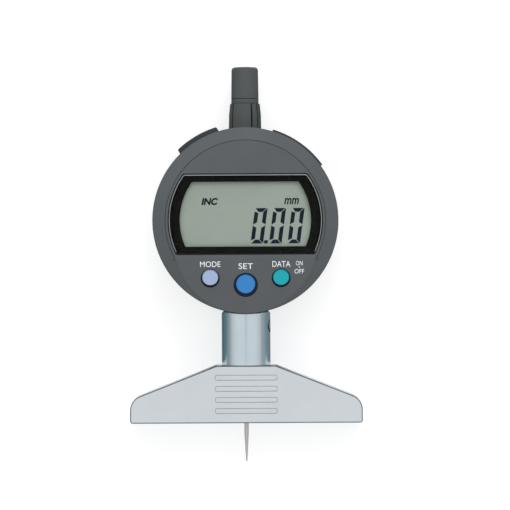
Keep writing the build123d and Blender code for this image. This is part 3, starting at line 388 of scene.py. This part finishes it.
# %% [markdown]
# ## The window and the display
#
# The window is clear plastic that is polished on both sides. A glass shader would have to bend
# light twice through a thin plate, which costs time and gives noise. Nearly all of the light goes
# straight through such a plate, so it is made of two simple shaders: transparent, and a mirror
# whose share is a few hundredths when it is looked at squarely and grows steeply towards a shallow
# angle. The share comes from Layer Weight, raised to the fifth power. Blender's own node for a
# mirror share is left out: in a plate that doesn't bend light it would turn slanted rays back at
# the plate's lower side, and the display would go black when seen from the side. Faint wear from
# cleaning cloths goes into the mirror's roughness.
#
# The display under it is a grey-green sheet. The paper behind the glass has a soft, cloudy tone.

# %% Window and display
WINDOW_TINT = (0.995, 0.998, 0.995, 1)
MIRROR_SHARE = 0.035
MIRROR_STEEPNESS = 5.0
WEAR_GRAIN = 2.5 * MM
WEAR_ROUGH = (0.02, 0.08)
WEAR_RELIEF = 0.00005 * MM


def clear_window(name):
    material = bpy.data.materials.new(name)
    material.use_nodes = True
    tree = material.node_tree
    tree.nodes.remove(tree.nodes["Principled BSDF"])
    clear = tree.nodes.new("ShaderNodeBsdfTransparent")
    clear.inputs["Color"].default_value = WINDOW_TINT
    mirror = tree.nodes.new("ShaderNodeBsdfGlossy")
    aslant = tree.nodes.new("ShaderNodeLayerWeight")
    steep = calculate(tree, "POWER", aslant.outputs["Facing"], MIRROR_STEEPNESS)
    share = calculate(tree, "MULTIPLY_ADD", steep, 1 - MIRROR_SHARE, MIRROR_SHARE)
    place = tree.nodes.new("ShaderNodeTexCoord")
    wear = tree.nodes.new("ShaderNodeTexNoise")
    wear.inputs["Scale"].default_value = 1 / WEAR_GRAIN
    span = tree.nodes.new("ShaderNodeMapRange")
    span.inputs["To Min"].default_value = WEAR_ROUGH[0]
    span.inputs["To Max"].default_value = WEAR_ROUGH[1]
    bump = tree.nodes.new("ShaderNodeBump")
    bump.inputs["Distance"].default_value = WEAR_RELIEF
    mix = tree.nodes.new("ShaderNodeMixShader")
    tree.links.new(place.outputs["Object"], wear.inputs["Vector"])
    tree.links.new(wear.outputs["Fac"], span.inputs["Value"])
    tree.links.new(span.outputs["Result"], mirror.inputs["Roughness"])
    tree.links.new(wear.outputs["Fac"], bump.inputs["Height"])
    tree.links.new(bump.outputs["Normal"], mirror.inputs["Normal"])
    tree.links.new(share, mix.inputs["Fac"])
    tree.links.new(clear.outputs["BSDF"], mix.inputs[1])
    tree.links.new(mirror.outputs["BSDF"], mix.inputs[2])
    tree.links.new(mix.outputs["Shader"], tree.nodes["Material Output"].inputs["Surface"])
    return material


SURFACES["window"] = clear_window("window_clear")
SURFACES["display"] = moulded("display_paper", paint(156, 165, 156), grain=0.15 * MM,
                              height=0.0005 * MM, gloss=0.1, change=0.03)
print("finishes with the window and the display:", len(SURFACES))

# %% [markdown]
# ## Board and scale
#
# Two inner pieces carry a pattern that tells what they do. The circuit board is green lacquer over
# copper tracks, and the scale plate has fine cross lines that the sensor counts. A Wave texture
# gives even lines for the scale, and a texture of angular cells gives the patches of the board.
# Both are cut by a steep ramp, so that one tone ends sharply where the other begins.

# %% Board and scale
BAND_EDGES = (0.48, 0.52)
PATTERN_RELIEF = 0.01 * MM
PATTERN_GRAIN = 0.5 * MM
TRACKS_SCALE = 420
LINES_SCALE = 320


def patterned(name, pattern_of, low, high, rough):
    finish = Finish(name, gloss=0.4)
    pattern = pattern_of(finish)
    finish.colour(pattern, low, high, between=BAND_EDGES)
    finish.roughness(finish.noise(PATTERN_GRAIN), *rough)
    finish.relief(pattern, PATTERN_RELIEF)
    return finish.material


def tracks(finish):
    node = finish.nodes.new("ShaderNodeTexVoronoi")
    node.distance = "CHEBYCHEV"
    node.feature = "F2"
    node.inputs["Scale"].default_value = TRACKS_SCALE
    finish.links.new(finish.place, node.inputs["Vector"])
    return node.outputs["Distance"]


def scale_lines(finish):
    node = finish.nodes.new("ShaderNodeTexWave")
    node.bands_direction = "Y"
    node.inputs["Scale"].default_value = LINES_SCALE
    finish.links.new(finish.place, node.inputs["Vector"])
    return node.outputs["Fac"]


SURFACES["board"] = patterned(
    "board_green", tracks, paint(26, 92, 52), paint(38, 118, 66), (0.3, 0.45)
)
SURFACES["scale"] = patterned(
    "scale_lines", scale_lines, paint(186, 168, 110), paint(148, 168, 158), (0.2, 0.3)
)
print("finishes in all:", len(SURFACES))

# %% [markdown]
# ## Dressing the frame
#
# The record that came with the frame says which slot each solid takes its finish from. Walking
# through it gives every solid its surface, and a slot without a finish would stop the script here.
# Only the material changes: the meshes of the solids stay as they are.

# %% Surfaces on the solids
SLOT_OF = {entry["node"]: entry["material_slot"] for entry in frame["record"]["subparts"]}
for node, piece in frame["nodes"].items():
    piece.data.materials.clear()
    piece.data.materials.append(SURFACES[SLOT_OF[node]])
print("dressed solids:", len(SLOT_OF))

# %% [markdown]
# ## Tools for the added pieces
#
# The added pieces are modelled as by hand: a primitive, then edit mode, then the place is applied
# so that the object itself ends at the origin. Blender's operators act on whatever is selected, so
# each helper first selects exactly one piece. Inside edit mode, corners, edges or faces are picked
# by a rule about them, which is what a modeller does with a box selection.

# %% Modelling helpers
def work_on(piece):
    """Make this the one selected and active piece."""
    bpy.ops.object.select_all(action="DESELECT")
    piece.select_set(True)
    bpy.context.view_layer.objects.active = piece


def spread(add, low, high, z, thickness=1):
    """Add a primitive and size it, so that it lies between two corners at this height."""
    bpy.ops.object.select_all(action="DESELECT")
    add(size=1, location=((low[0] + high[0]) / 2, (low[1] + high[1]) / 2, z))
    piece = bpy.context.object
    piece.scale = (high[0] - low[0], high[1] - low[1], thickness)
    bpy.ops.object.transform_apply(location=True, rotation=True, scale=True)
    return piece


def pick(piece, kind, rule):
    """In edit mode, select each VERT, EDGE or FACE that obeys the rule, and say how many."""
    bpy.ops.mesh.select_mode(type=kind)
    bpy.ops.mesh.select_all(action="DESELECT")
    mesh = bmesh.from_edit_mesh(piece.data)
    mesh.normal_update()
    elements = {"VERT": mesh.verts, "EDGE": mesh.edges, "FACE": mesh.faces}[kind]
    for element in elements:
        if rule(element):
            element.select_set(True)
    mesh.select_flush_mode()
    bmesh.update_edit_mesh(piece.data)
    return sum(element.select for element in elements)


def put(piece, name, material, body="case"):
    """Apply the place, name the piece, give it its finish and let it ride on its body."""
    work_on(piece)
    bpy.ops.object.transform_apply(location=True, rotation=True, scale=True)
    piece.name = name
    piece.data.name = name
    piece.data.materials.clear()
    piece.data.materials.append(material)
    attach(piece, body)
    return piece


# %% [markdown]
# ## The painted highlight on the window's edge
#
# The black print under the window stops just short of its edge, and the bevel round the window is
# not polished and catches the light, so a thin pale line shows above and beside the black. That
# line is a painted highlight: a pale skin on the bevel. The bevel is already there, as a ring of
# narrow faces on the solid. A copy of the solid is opened in edit mode, the faces that lean
# outwards are kept, the rest are deleted, and the strip that is left gets a thickness of some
# hundredths of a millimetre. Cut from the window itself, it fits its edge. The lower side turns
# away from the light and stays dark, so it gets no painted highlight.

# %% Painted highlight on the window's edge
SAME_CORNER = 0.001 * MM
BEVEL_LOW, BEVEL_HIGH = 0.3, 0.95
TURNED_DOWN = -0.3
HIGHLIGHT_SKIN_T = 0.03 * MM


def copy_of(node):
    """A loose copy of a solid, with its own mesh and with the facets' doubled corners merged."""
    work_on(frame["nodes"][node])
    bpy.ops.object.duplicate()
    copy = bpy.context.object
    bpy.ops.object.parent_clear(type="CLEAR_KEEP_TRANSFORM")
    bpy.ops.object.mode_set(mode="EDIT")
    bpy.ops.mesh.select_all(action="SELECT")
    bpy.ops.mesh.remove_doubles(threshold=SAME_CORNER)
    bpy.ops.object.mode_set(mode="OBJECT")
    return copy


def skin(node, rule, thickness):
    """The faces of a solid that obey the rule, as a loose skin with a thickness."""
    piece = copy_of(node)
    bpy.ops.object.mode_set(mode="EDIT")
    print(f"faces kept of {node}:", pick(piece, "FACE", rule))
    bpy.ops.mesh.select_all(action="INVERT")
    bpy.ops.mesh.delete(type="FACE")
    bpy.ops.object.mode_set(mode="OBJECT")
    modifier = piece.modifiers.new("thickness", "SOLIDIFY")
    modifier.thickness = thickness
    modifier.offset = 1
    bpy.ops.object.modifier_apply(modifier="thickness")
    return piece


def on_bevel(face):
    """True for a face that leans outwards from the front."""
    return BEVEL_LOW < face.normal.z < BEVEL_HIGH


# Pale tone on the lit bevel: a painted highlight. Only its roughness is the bevel's own.
EDGE_HIGHLIGHT_PAINT = moulded("window_edge_painted_highlight", paint(156, 159, 157), grain=0.2 * MM,
                     rough=(0.4, 0.55), change=0.04)
lit_bevel_skin = skin("display_window",
               lambda face: on_bevel(face) and face.normal.y > TURNED_DOWN, HIGHLIGHT_SKIN_T)
put(lit_bevel_skin, "window_edge", EDGE_HIGHLIGHT_PAINT)

# %% [markdown]
# ## Painted shade on the broken edge of the base
#
# After grinding, the sharp edges of the base are broken with a small chamfer. It is cut across the
# grinding lines and is rougher than the faces. The chamfer's faces are taken from the solid in the
# same way and painted a darker metal: that dark is painted shade, which draws the base with a thin
# dark line. Those in the mouths of the grooves lean as much, and are left out by their place.

# %% Edge of the base
BASE_TOP_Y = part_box("measuring_base")[1].y
GROOVES_HALF_W = 11 * MM
NEAR_EDGE = 1 * MM
SHADE_SKIN_T = 0.02 * MM


def on_outline(face):
    """True for a face near the foot or the top of the base, or beside its grooves."""
    at = face.calc_center_median()
    return abs(at.x) > GROOVES_HALF_W or at.y < NEAR_EDGE or at.y > BASE_TOP_Y - NEAR_EDGE


# Darker metal on the chamfer: painted shade on the broken edge of the base.
EDGE_SHADE_PAINT = metal("base_edge_painted_shade", paint(136, 141, 145), rough=(0.4, 0.5))
shaded_chamfer = skin("measuring_base", lambda face: on_bevel(face) and on_outline(face), SHADE_SKIN_T)
put(shaded_chamfer, "base_edge", EDGE_SHADE_PAINT)

# %% [markdown]
# ## The return spring
#
# The spring under the upper boss pushes the spindle out. When the spindle slides in, the real
# spring is pressed together, but a solid in the frame is rigid, and the scale carrier would cut
# through it. So a copy of the spring, with a mesh of its own, stands in for the solid, which is
# hidden. The copy is not shortened when the spindle slides.

# %% Copy of the spring
SPRING_SLOT = SLOT_OF["return_spring"]
coil = put(copy_of("return_spring"), "spring_coil", SURFACES[SPRING_SLOT])
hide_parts("return_spring")
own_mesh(coil)

# %% [markdown]
# ## The film on the glass
#
# The lower corners of the liquid crystal glass are cut off, and the board would show there as
# green specks. The grey film on the real glass reaches into its corners, so it is added here: a
# cube as wide and as high as the glass, as thin as a film, with its four upright edges bevelled.
# Its front lies just below the front of the glass, so it shows in the corners only.

# %% Film on the glass
GLASS_LOW, GLASS_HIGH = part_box("lcd_panel")
FILM_T = 0.03 * MM
FILM_BEVEL = 0.3 * MM
film = spread(bpy.ops.mesh.primitive_cube_add, GLASS_LOW, GLASS_HIGH, GLASS_HIGH.z - FILM_T, FILM_T)
bpy.ops.object.mode_set(mode="EDIT")
upright = pick(
    film, "EDGE", lambda edge: abs(edge.verts[0].co.z - edge.verts[1].co.z) > FILM_T / 2
)
bpy.ops.mesh.bevel(offset=FILM_BEVEL, segments=3)
bpy.ops.object.mode_set(mode="OBJECT")
put(film, "display_film", SURFACES["display"])
print("bevelled edges of the film:", upright)

# %% [markdown]
# ## The figures in the display
#
# The display shows 0.00. Each nought is six lit segments out of seven, leaning to the right. Every
# segment starts as a cube that is as long as its outer side; then the two ends of its inner side
# are pulled in, so that neighbours meet in slanted seams. In this display the right-hand segments
# reach the top and the foot of the figure, and the others stop at them. The finished nought is
# leaned by pushing each row of vertices sideways in proportion to its height, and then copied
# twice, each copy with its own mesh. A font could not give these seams.
#
# Three shares of the stroke shape the ends: how far the inner side is cut back at half height, how
# much is cut off the figure's left corners, and how far from them the left segments begin.

# %% One nought
DIGIT_W = 4.06 * MM
DIGIT_H = 11.4 * MM
DIGIT_PITCH = 5.95 * MM
DIGIT_LEAN = 0.134
FIRST_DIGIT = DIAL + Vector((1.6, -7.52, 0)) * MM
STROKE = 1.25 * MM
SEAM = 0.26 * MM
HALFWAY_CUT = 0.62 * STROKE
CORNER_CUT = 0.4 * STROKE
CORNER_GAP = 0.85 * STROKE
POINT_AFTER = 0.25 * MM
POINT_SIZE = Vector((1.2, 1.05)) * MM
SAME_ROW = 0.002 * MM
INK_T = 0.02 * MM
INK_Z = GLASS_HIGH.z + INK_T / 2


def bar(low, high, inner, cuts=(0, 0)):
    """A bar between two corners. Its side towards inner, which is -X, +X, -Y or +Y, is cut back."""
    piece = spread(bpy.ops.mesh.primitive_cube_add, low, high, INK_Z, INK_T)
    centre = Vector(((low[0] + high[0]) / 2, (low[1] + high[1]) / 2, INK_Z))
    across = 0 if inner[0] else 1
    along = 1 - across

    def at_end(vertex, end):
        off = vertex.co - centre
        return off[across] * inner[across] > 0 and off[along] * end > 0

    bpy.ops.object.mode_set(mode="EDIT")
    for end, cut in zip((-1, 1), cuts):
        pick(piece, "VERT", lambda vertex: at_end(vertex, end))
        move = [0, 0, 0]
        move[along] = -end * cut
        bpy.ops.transform.translate(value=move)
    bpy.ops.object.mode_set(mode="OBJECT")
    return piece


def nought():
    """Six bars, from the lower left corner of the figure."""
    left, low = FIRST_DIGIT.x, FIRST_DIGIT.y
    right, top, half = left + DIGIT_W, low + DIGIT_H, low + DIGIT_H / 2 + SEAM
    left_in, right_in = left + STROKE, right - STROKE
    lying_left, lying_right = left + CORNER_CUT / 2, right - SEAM
    above, below = half + SEAM / 2, half - SEAM / 2
    lying = (STROKE - CORNER_CUT / 2, STROKE)
    bars = [
        bar((lying_left, top - STROKE), (lying_right, top), (0, -1), lying),
        bar((lying_left, low), (lying_right, low + STROKE), (0, 1), lying),
        bar((left, above), (left_in, top - CORNER_GAP), (1, 0), (HALFWAY_CUT, CORNER_CUT)),
        bar((left, low + CORNER_GAP), (left_in, below), (1, 0), (CORNER_CUT, HALFWAY_CUT)),
        bar((right_in, above), (right, top), (-1, 0), (HALFWAY_CUT, STROKE)),
        bar((right_in, low), (right, below), (-1, 0), (STROKE, HALFWAY_CUT)),
    ]
    bpy.ops.object.select_all(action="DESELECT")
    for piece in bars:
        piece.select_set(True)
    bpy.context.view_layer.objects.active = bars[0]
    bpy.ops.object.join()
    return bars[0]


def lean(piece, low):
    """Push every row of vertices to the right in proportion to its height."""
    work_on(piece)
    rows = sorted({round(vertex.co.y, 6) for vertex in piece.data.vertices})
    bpy.ops.object.mode_set(mode="EDIT")
    for row in rows:
        pick(piece, "VERT", lambda vertex: abs(vertex.co.y - row) < SAME_ROW)
        bpy.ops.transform.translate(value=(DIGIT_LEAN * (row - low), 0, 0))
    bpy.ops.object.mode_set(mode="OBJECT")


first = nought()
lean(first, FIRST_DIGIT.y)
digits = [first]
for i in (1, 2):
    work_on(first)
    bpy.ops.object.duplicate()
    copy = bpy.context.object
    copy.location.x += i * DIGIT_PITCH
    digits.append(copy)
for i, piece in enumerate(digits):
    put(piece, f"digit_{i + 1}", LCD_INK)
POINT = FIRST_DIGIT.xy + Vector((DIGIT_W + POINT_AFTER, 0))
point = bar(POINT, POINT + POINT_SIZE, (0, 1))
lean(point, POINT.y)
put(point, "decimal_point", LCD_INK)
print("digits:", len(digits))

# %% [markdown]
# ## Words
#
# The display also shows two small signs, and the panel names its keys in white print. Words are
# what Blender's text object is for. It is given a slight boldness by its offset and, in the
# display, a slant by its shear. Then it is made a mesh, sized to its height and width, and lifted
# a hundredth of a millimetre off the surface that carries it, because print has a thickness too.
# The words on the panel are turned by the panel's tilt and lie where its plane is at their height.
#
# The two tables give the letters, their middle from the centre of the dial, their height and
# their width, all in millimetres, and for the signs also their boldness.

# %% Words in the display and on the panel
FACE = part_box("front_cover")[1].z
PANEL_TILT = radians(7)
PANEL_FOLD = DIAL.y - 12.5 * MM
LETTER_SIZE = 10 * MM
SIGN_SLANT = 0.2
SIGNS = {
    "sign_inc": ("INC", -11.5, 6.08, 2.3, 5.3, 0.5),
    "sign_mm": ("mm", 14.9, 6.1, 2.05, 4.75, 0.25),
}
PANEL_WORDS = {
    "word_mode": ("MODE", -11.36, -14.12, 1.8, 6.55),
    "word_set": ("SET", 0.05, -14.78, 1.85, 4.65),
    "word_data": ("DATA", 11.5, -14.12, 1.85, 5.8),
    "word_on": ("ON", 17.25, -13.9, 1.45, 2.15),
    "word_off": ("OFF", 17.25, -16.5, 1.45, 3.05),
    "word_dot": (".", 17.25, -15.15, 0.4, 0.4),
}


def word(letters, centre, height, width, turn=0.0, bold=0.0, slant=0.0):
    """Flat letters, sized in millimetres, with their middle at this place."""
    bpy.ops.object.select_all(action="DESELECT")
    bpy.ops.object.text_add(location=(0, 0, 0))
    piece = bpy.context.object
    piece.data.body = letters
    piece.data.size = LETTER_SIZE
    piece.data.extrude = INK_T / 2
    piece.data.offset = bold * MM
    piece.data.shear = slant
    piece.data.resolution_u = 4
    work_on(piece)
    bpy.ops.object.convert(target="MESH")
    bpy.ops.object.origin_set(type="ORIGIN_GEOMETRY", center="BOUNDS")
    piece.location = (0, 0, 0)
    grown = piece.dimensions
    piece.scale = (width * MM / grown.x, height * MM / grown.y, 1)
    bpy.ops.object.transform_apply(location=True, rotation=True, scale=True)
    piece.location = centre
    piece.rotation_euler = (turn, 0, 0)
    return piece


for name, (letters, x, y, height, width, bold) in SIGNS.items():
    centre = (DIAL.x + x * MM, DIAL.y + y * MM, INK_Z)
    sign = word(letters, centre, height, width, bold=bold, slant=SIGN_SLANT)
    put(sign, name, LCD_INK)
for name, (letters, x, y, height, width) in PANEL_WORDS.items():
    up = DIAL.y + y * MM
    centre = (DIAL.x + x * MM, up, FACE + (up - PANEL_FOLD) * tan(PANEL_TILT) + INK_T / 2)
    put(word(letters, centre, height, width, turn=PANEL_TILT), name, INK_WHITE)
print("signs:", len(SIGNS), "words on the panel:", len(PANEL_WORDS))

# %% [markdown]
# ## The floor
#
# The gauge lies on its back on a white table. The table has to look pure white in the picture and
# still show the soft shadow under the gauge. White paint alone would throw so much light back up
# that the undersides lose their shading, so the floor is a light grey that scatters less, and the
# missing part is added as a glow which only the camera, mirrors and clear pieces can see.

# %% Floor
LYING_PLANE = cad_box[0].z
FLOOR_W = 8
FLOOR_BELOW = 0.02 * MM
FLOOR_TONE = (0.42, 0.42, 0.42, 1)
FLOOR_CHANGE = 0.01
FLOOR_ROUGH = (0.85, 0.95)
FLOOR_CLOUD = 60 * MM
FLOOR_GLOW = 0.66


def table_top(name, colour, glow):
    finish = Finish(name, gloss=0.0)
    cloud = finish.noise(FLOOR_CLOUD)
    finish.colour(cloud, shaded(colour, 1 - FLOOR_CHANGE), shaded(colour, 1 + FLOOR_CHANGE))
    finish.roughness(cloud, *FLOOR_ROUGH)
    finish.shader.inputs["Emission Color"].default_value = (1, 1, 1, 1)
    rays = finish.nodes.new("ShaderNodeLightPath").outputs
    seen = calculate(finish.tree, "MAXIMUM", rays["Is Camera Ray"], rays["Is Glossy Ray"])
    seen = calculate(finish.tree, "MAXIMUM", seen, rays["Is Transmission Ray"])
    strength = calculate(finish.tree, "MULTIPLY", seen, glow)
    finish.links.new(strength, finish.shader.inputs["Emission Strength"])
    return finish.material


bpy.ops.object.select_all(action="DESELECT")
bpy.ops.mesh.primitive_plane_add(size=FLOOR_W, location=(0, 0, LYING_PLANE - FLOOR_BELOW))
floor = bpy.context.object
floor.name = "floor"
floor.data.materials.append(table_top("table_white", FLOOR_TONE, FLOOR_GLOW))
print("floor at height in mm:", round(floor.location.z / MM, 2))

# %% [markdown]
# ## Light
#
# The picture is of studio work: broad light from above, and darker surroundings that give round
# metal its shape. The sky is a gradient, bright overhead and dim at the horizon. It is a little
# brighter to both sides and towards the top of the picture, so that the flanks of the housing
# catch some light. A square lamp adds the soft direction. Together they put as much light on an
# upward face as its colour is written for, so grey plastic looks as grey as it is.

# %% Sky and lamp
SIDES_BRIGHTER = 0.26
BACK_BRIGHTER = 0.2
SKY_TONES = {0.02: 0.1, 0.3: 0.42, 0.6: 0.84, 0.9: 1.04}
SKY_TINT = (1.0, 1.01, 1.03)
LAMP_AT = Vector((0.1, 0.95, 0.75))
LAMP_AIM = Vector((0, 0.05, 0))
LAMP_W = 0.7
LAMP_WATTS = 5.0

world = bpy.data.worlds.new("studio")
bpy.context.scene.world = world
world.use_nodes = True
sky = world.node_tree
direction = sky.nodes.new("ShaderNodeTexCoord")
axes = sky.nodes.new("ShaderNodeSeparateXYZ")
sky.links.new(direction.outputs["Generated"], axes.inputs["Vector"])
aside = calculate(sky, "ABSOLUTE", axes.outputs["X"])
rise = calculate(sky, "MULTIPLY_ADD", aside, SIDES_BRIGHTER, axes.outputs["Z"])
rise = calculate(sky, "MULTIPLY_ADD", axes.outputs["Y"], BACK_BRIGHTER, rise)
sky_stops = {at: tuple(tone * tint for tint in SKY_TINT) + (1,) for at, tone in SKY_TONES.items()}
sky.links.new(ramp(sky, rise, sky_stops), sky.nodes["Background"].inputs["Color"])

bpy.ops.object.light_add(type="AREA", location=LAMP_AT)
lamp = bpy.context.object
lamp.name = "soft_lamp"
lamp.data.size = LAMP_W
lamp.data.energy = LAMP_WATTS
lamp.visible_camera = False
lamp.visible_glossy = False
lamp.rotation_euler = (LAMP_AIM - LAMP_AT).to_track_quat("-Z", "Y").to_euler()
print("lamp's distance in m:", round((LAMP_AIM - LAMP_AT).length, 2))

# %% [markdown]
# ## Cards for the mirrors
#
# Polished metal shows what lies beside it, so photographers lay cards there. On each side of the
# gauge a small card and a large one lie on the table. They are dark close to the gauge and lighter
# further out, and darker on the left than on the right, which shapes the flanks of the sleeve. A
# black card hangs a little higher than the camera and keeps the window from mirroring the bright
# sky. Only mirror rays see the cards, so they cast no shadow and light nothing.
#
# The cards are painted black and glow by themselves, so their tones don't depend on the lamp. The
# tones are given by their distance from the middle of the gauge, in millimetres.

# %% Cards
CARD_FAR = 1.0
CARD_Z = LYING_PLANE + 0.05 * MM
CARD_NEAR, CARD_WIDER = 10 * MM, 60 * MM
CARD_CLOUD = 40 * MM
CARD_ROUGH = (0.9, 1.0)
CARD_PAINT = ((0, 0, 0, 1), (0.01, 0.01, 0.01, 1))
CARD_LOW, CARD_HIGH = BASE_TOP_Y + 0.4 * MM, cad_box[1].y + 5 * MM
FAR_LOW, FAR_HIGH = -0.3, 0.4
ABOVE_LOW, ABOVE_HIGH = (-80 * MM, 45 * MM), (80 * MM, 125 * MM)
ABOVE_Z = FACE + 1.1
BLACK = {1: (0, 0, 0), 900: (0, 0, 0)}
LEFT_TONES = {
    11: (0.1, 0.15, 0.19), 28: (0.16, 0.27, 0.3), 120: (0.3, 0.43, 0.45), 900: (0.43, 0.57, 0.58),
}
RIGHT_TONES = {
    11: (0.2, 0.25, 0.27), 28: (0.28, 0.36, 0.41), 120: (0.42, 0.52, 0.56), 900: (0.6, 0.69, 0.72),
}


def card(name, low, high, height, tones):
    """A flat card between two corners, which only mirror rays see."""
    piece = spread(bpy.ops.mesh.primitive_plane_add, low, high, height)
    piece.name = name
    finish = Finish(name, gloss=0.0)
    cloud = finish.noise(CARD_CLOUD)
    finish.colour(cloud, *CARD_PAINT)
    finish.roughness(cloud, *CARD_ROUGH)
    axes = finish.nodes.new("ShaderNodeSeparateXYZ")
    finish.links.new(finish.place, axes.inputs["Vector"])
    span = finish.nodes.new("ShaderNodeMapRange")
    span.inputs["From Max"].default_value = CARD_FAR
    outwards = calculate(finish.tree, "ABSOLUTE", axes.outputs["X"])
    finish.links.new(outwards, span.inputs["Value"])
    stops = {distance * MM / CARD_FAR: tone + (1,) for distance, tone in tones.items()}
    glow = ramp(finish.tree, span.outputs["Result"], stops)
    finish.links.new(glow, finish.shader.inputs["Emission Color"])
    finish.shader.inputs["Emission Strength"].default_value = 1.0
    piece.data.materials.append(finish.material)
    piece.visible_camera = False
    piece.visible_diffuse = False
    piece.visible_shadow = False
    piece.visible_transmission = False


card("card_left", (-CARD_WIDER, CARD_LOW), (-CARD_NEAR, CARD_HIGH), CARD_Z, LEFT_TONES)
card("card_left_far", (-CARD_FAR, FAR_LOW), (-CARD_WIDER, FAR_HIGH), CARD_Z, LEFT_TONES)
card("card_right", (CARD_NEAR, CARD_LOW), (CARD_WIDER, CARD_HIGH), CARD_Z, RIGHT_TONES)
card("card_right_far", (CARD_WIDER, FAR_LOW), (CARD_FAR, FAR_HIGH), CARD_Z, RIGHT_TONES)
card("card_above", ABOVE_LOW, ABOVE_HIGH, ABOVE_Z, BLACK)
print("highest card at height in m:", round(ABOVE_Z, 2))

# %% [markdown]
# ## Camera
#
# The photograph looks squarely down on the display from about a metre away. The lens is worked out
# from the width of the picture at the display face. The gauge leans a third of a degree in the
# photograph, so the camera is turned by as much.

# %% Camera
CAMERA_AWAY = 1.0
CAMERA_AT = (3.04 * MM, 54.48 * MM, FACE + CAMERA_AWAY)
CAMERA_TURN = radians(-0.3)
PICTURE_W = 163.9 * MM
SENSOR_W = 36.0
bpy.ops.object.camera_add(location=CAMERA_AT, rotation=(0, 0, CAMERA_TURN))
camera = bpy.context.object
camera.data.sensor_width = SENSOR_W
camera.data.lens = SENSOR_W * CAMERA_AWAY / PICTURE_W
bpy.context.scene.camera = camera
bpy.context.scene.view_settings.view_transform = "Standard"
print("lens in mm:", round(camera.data.lens, 1))
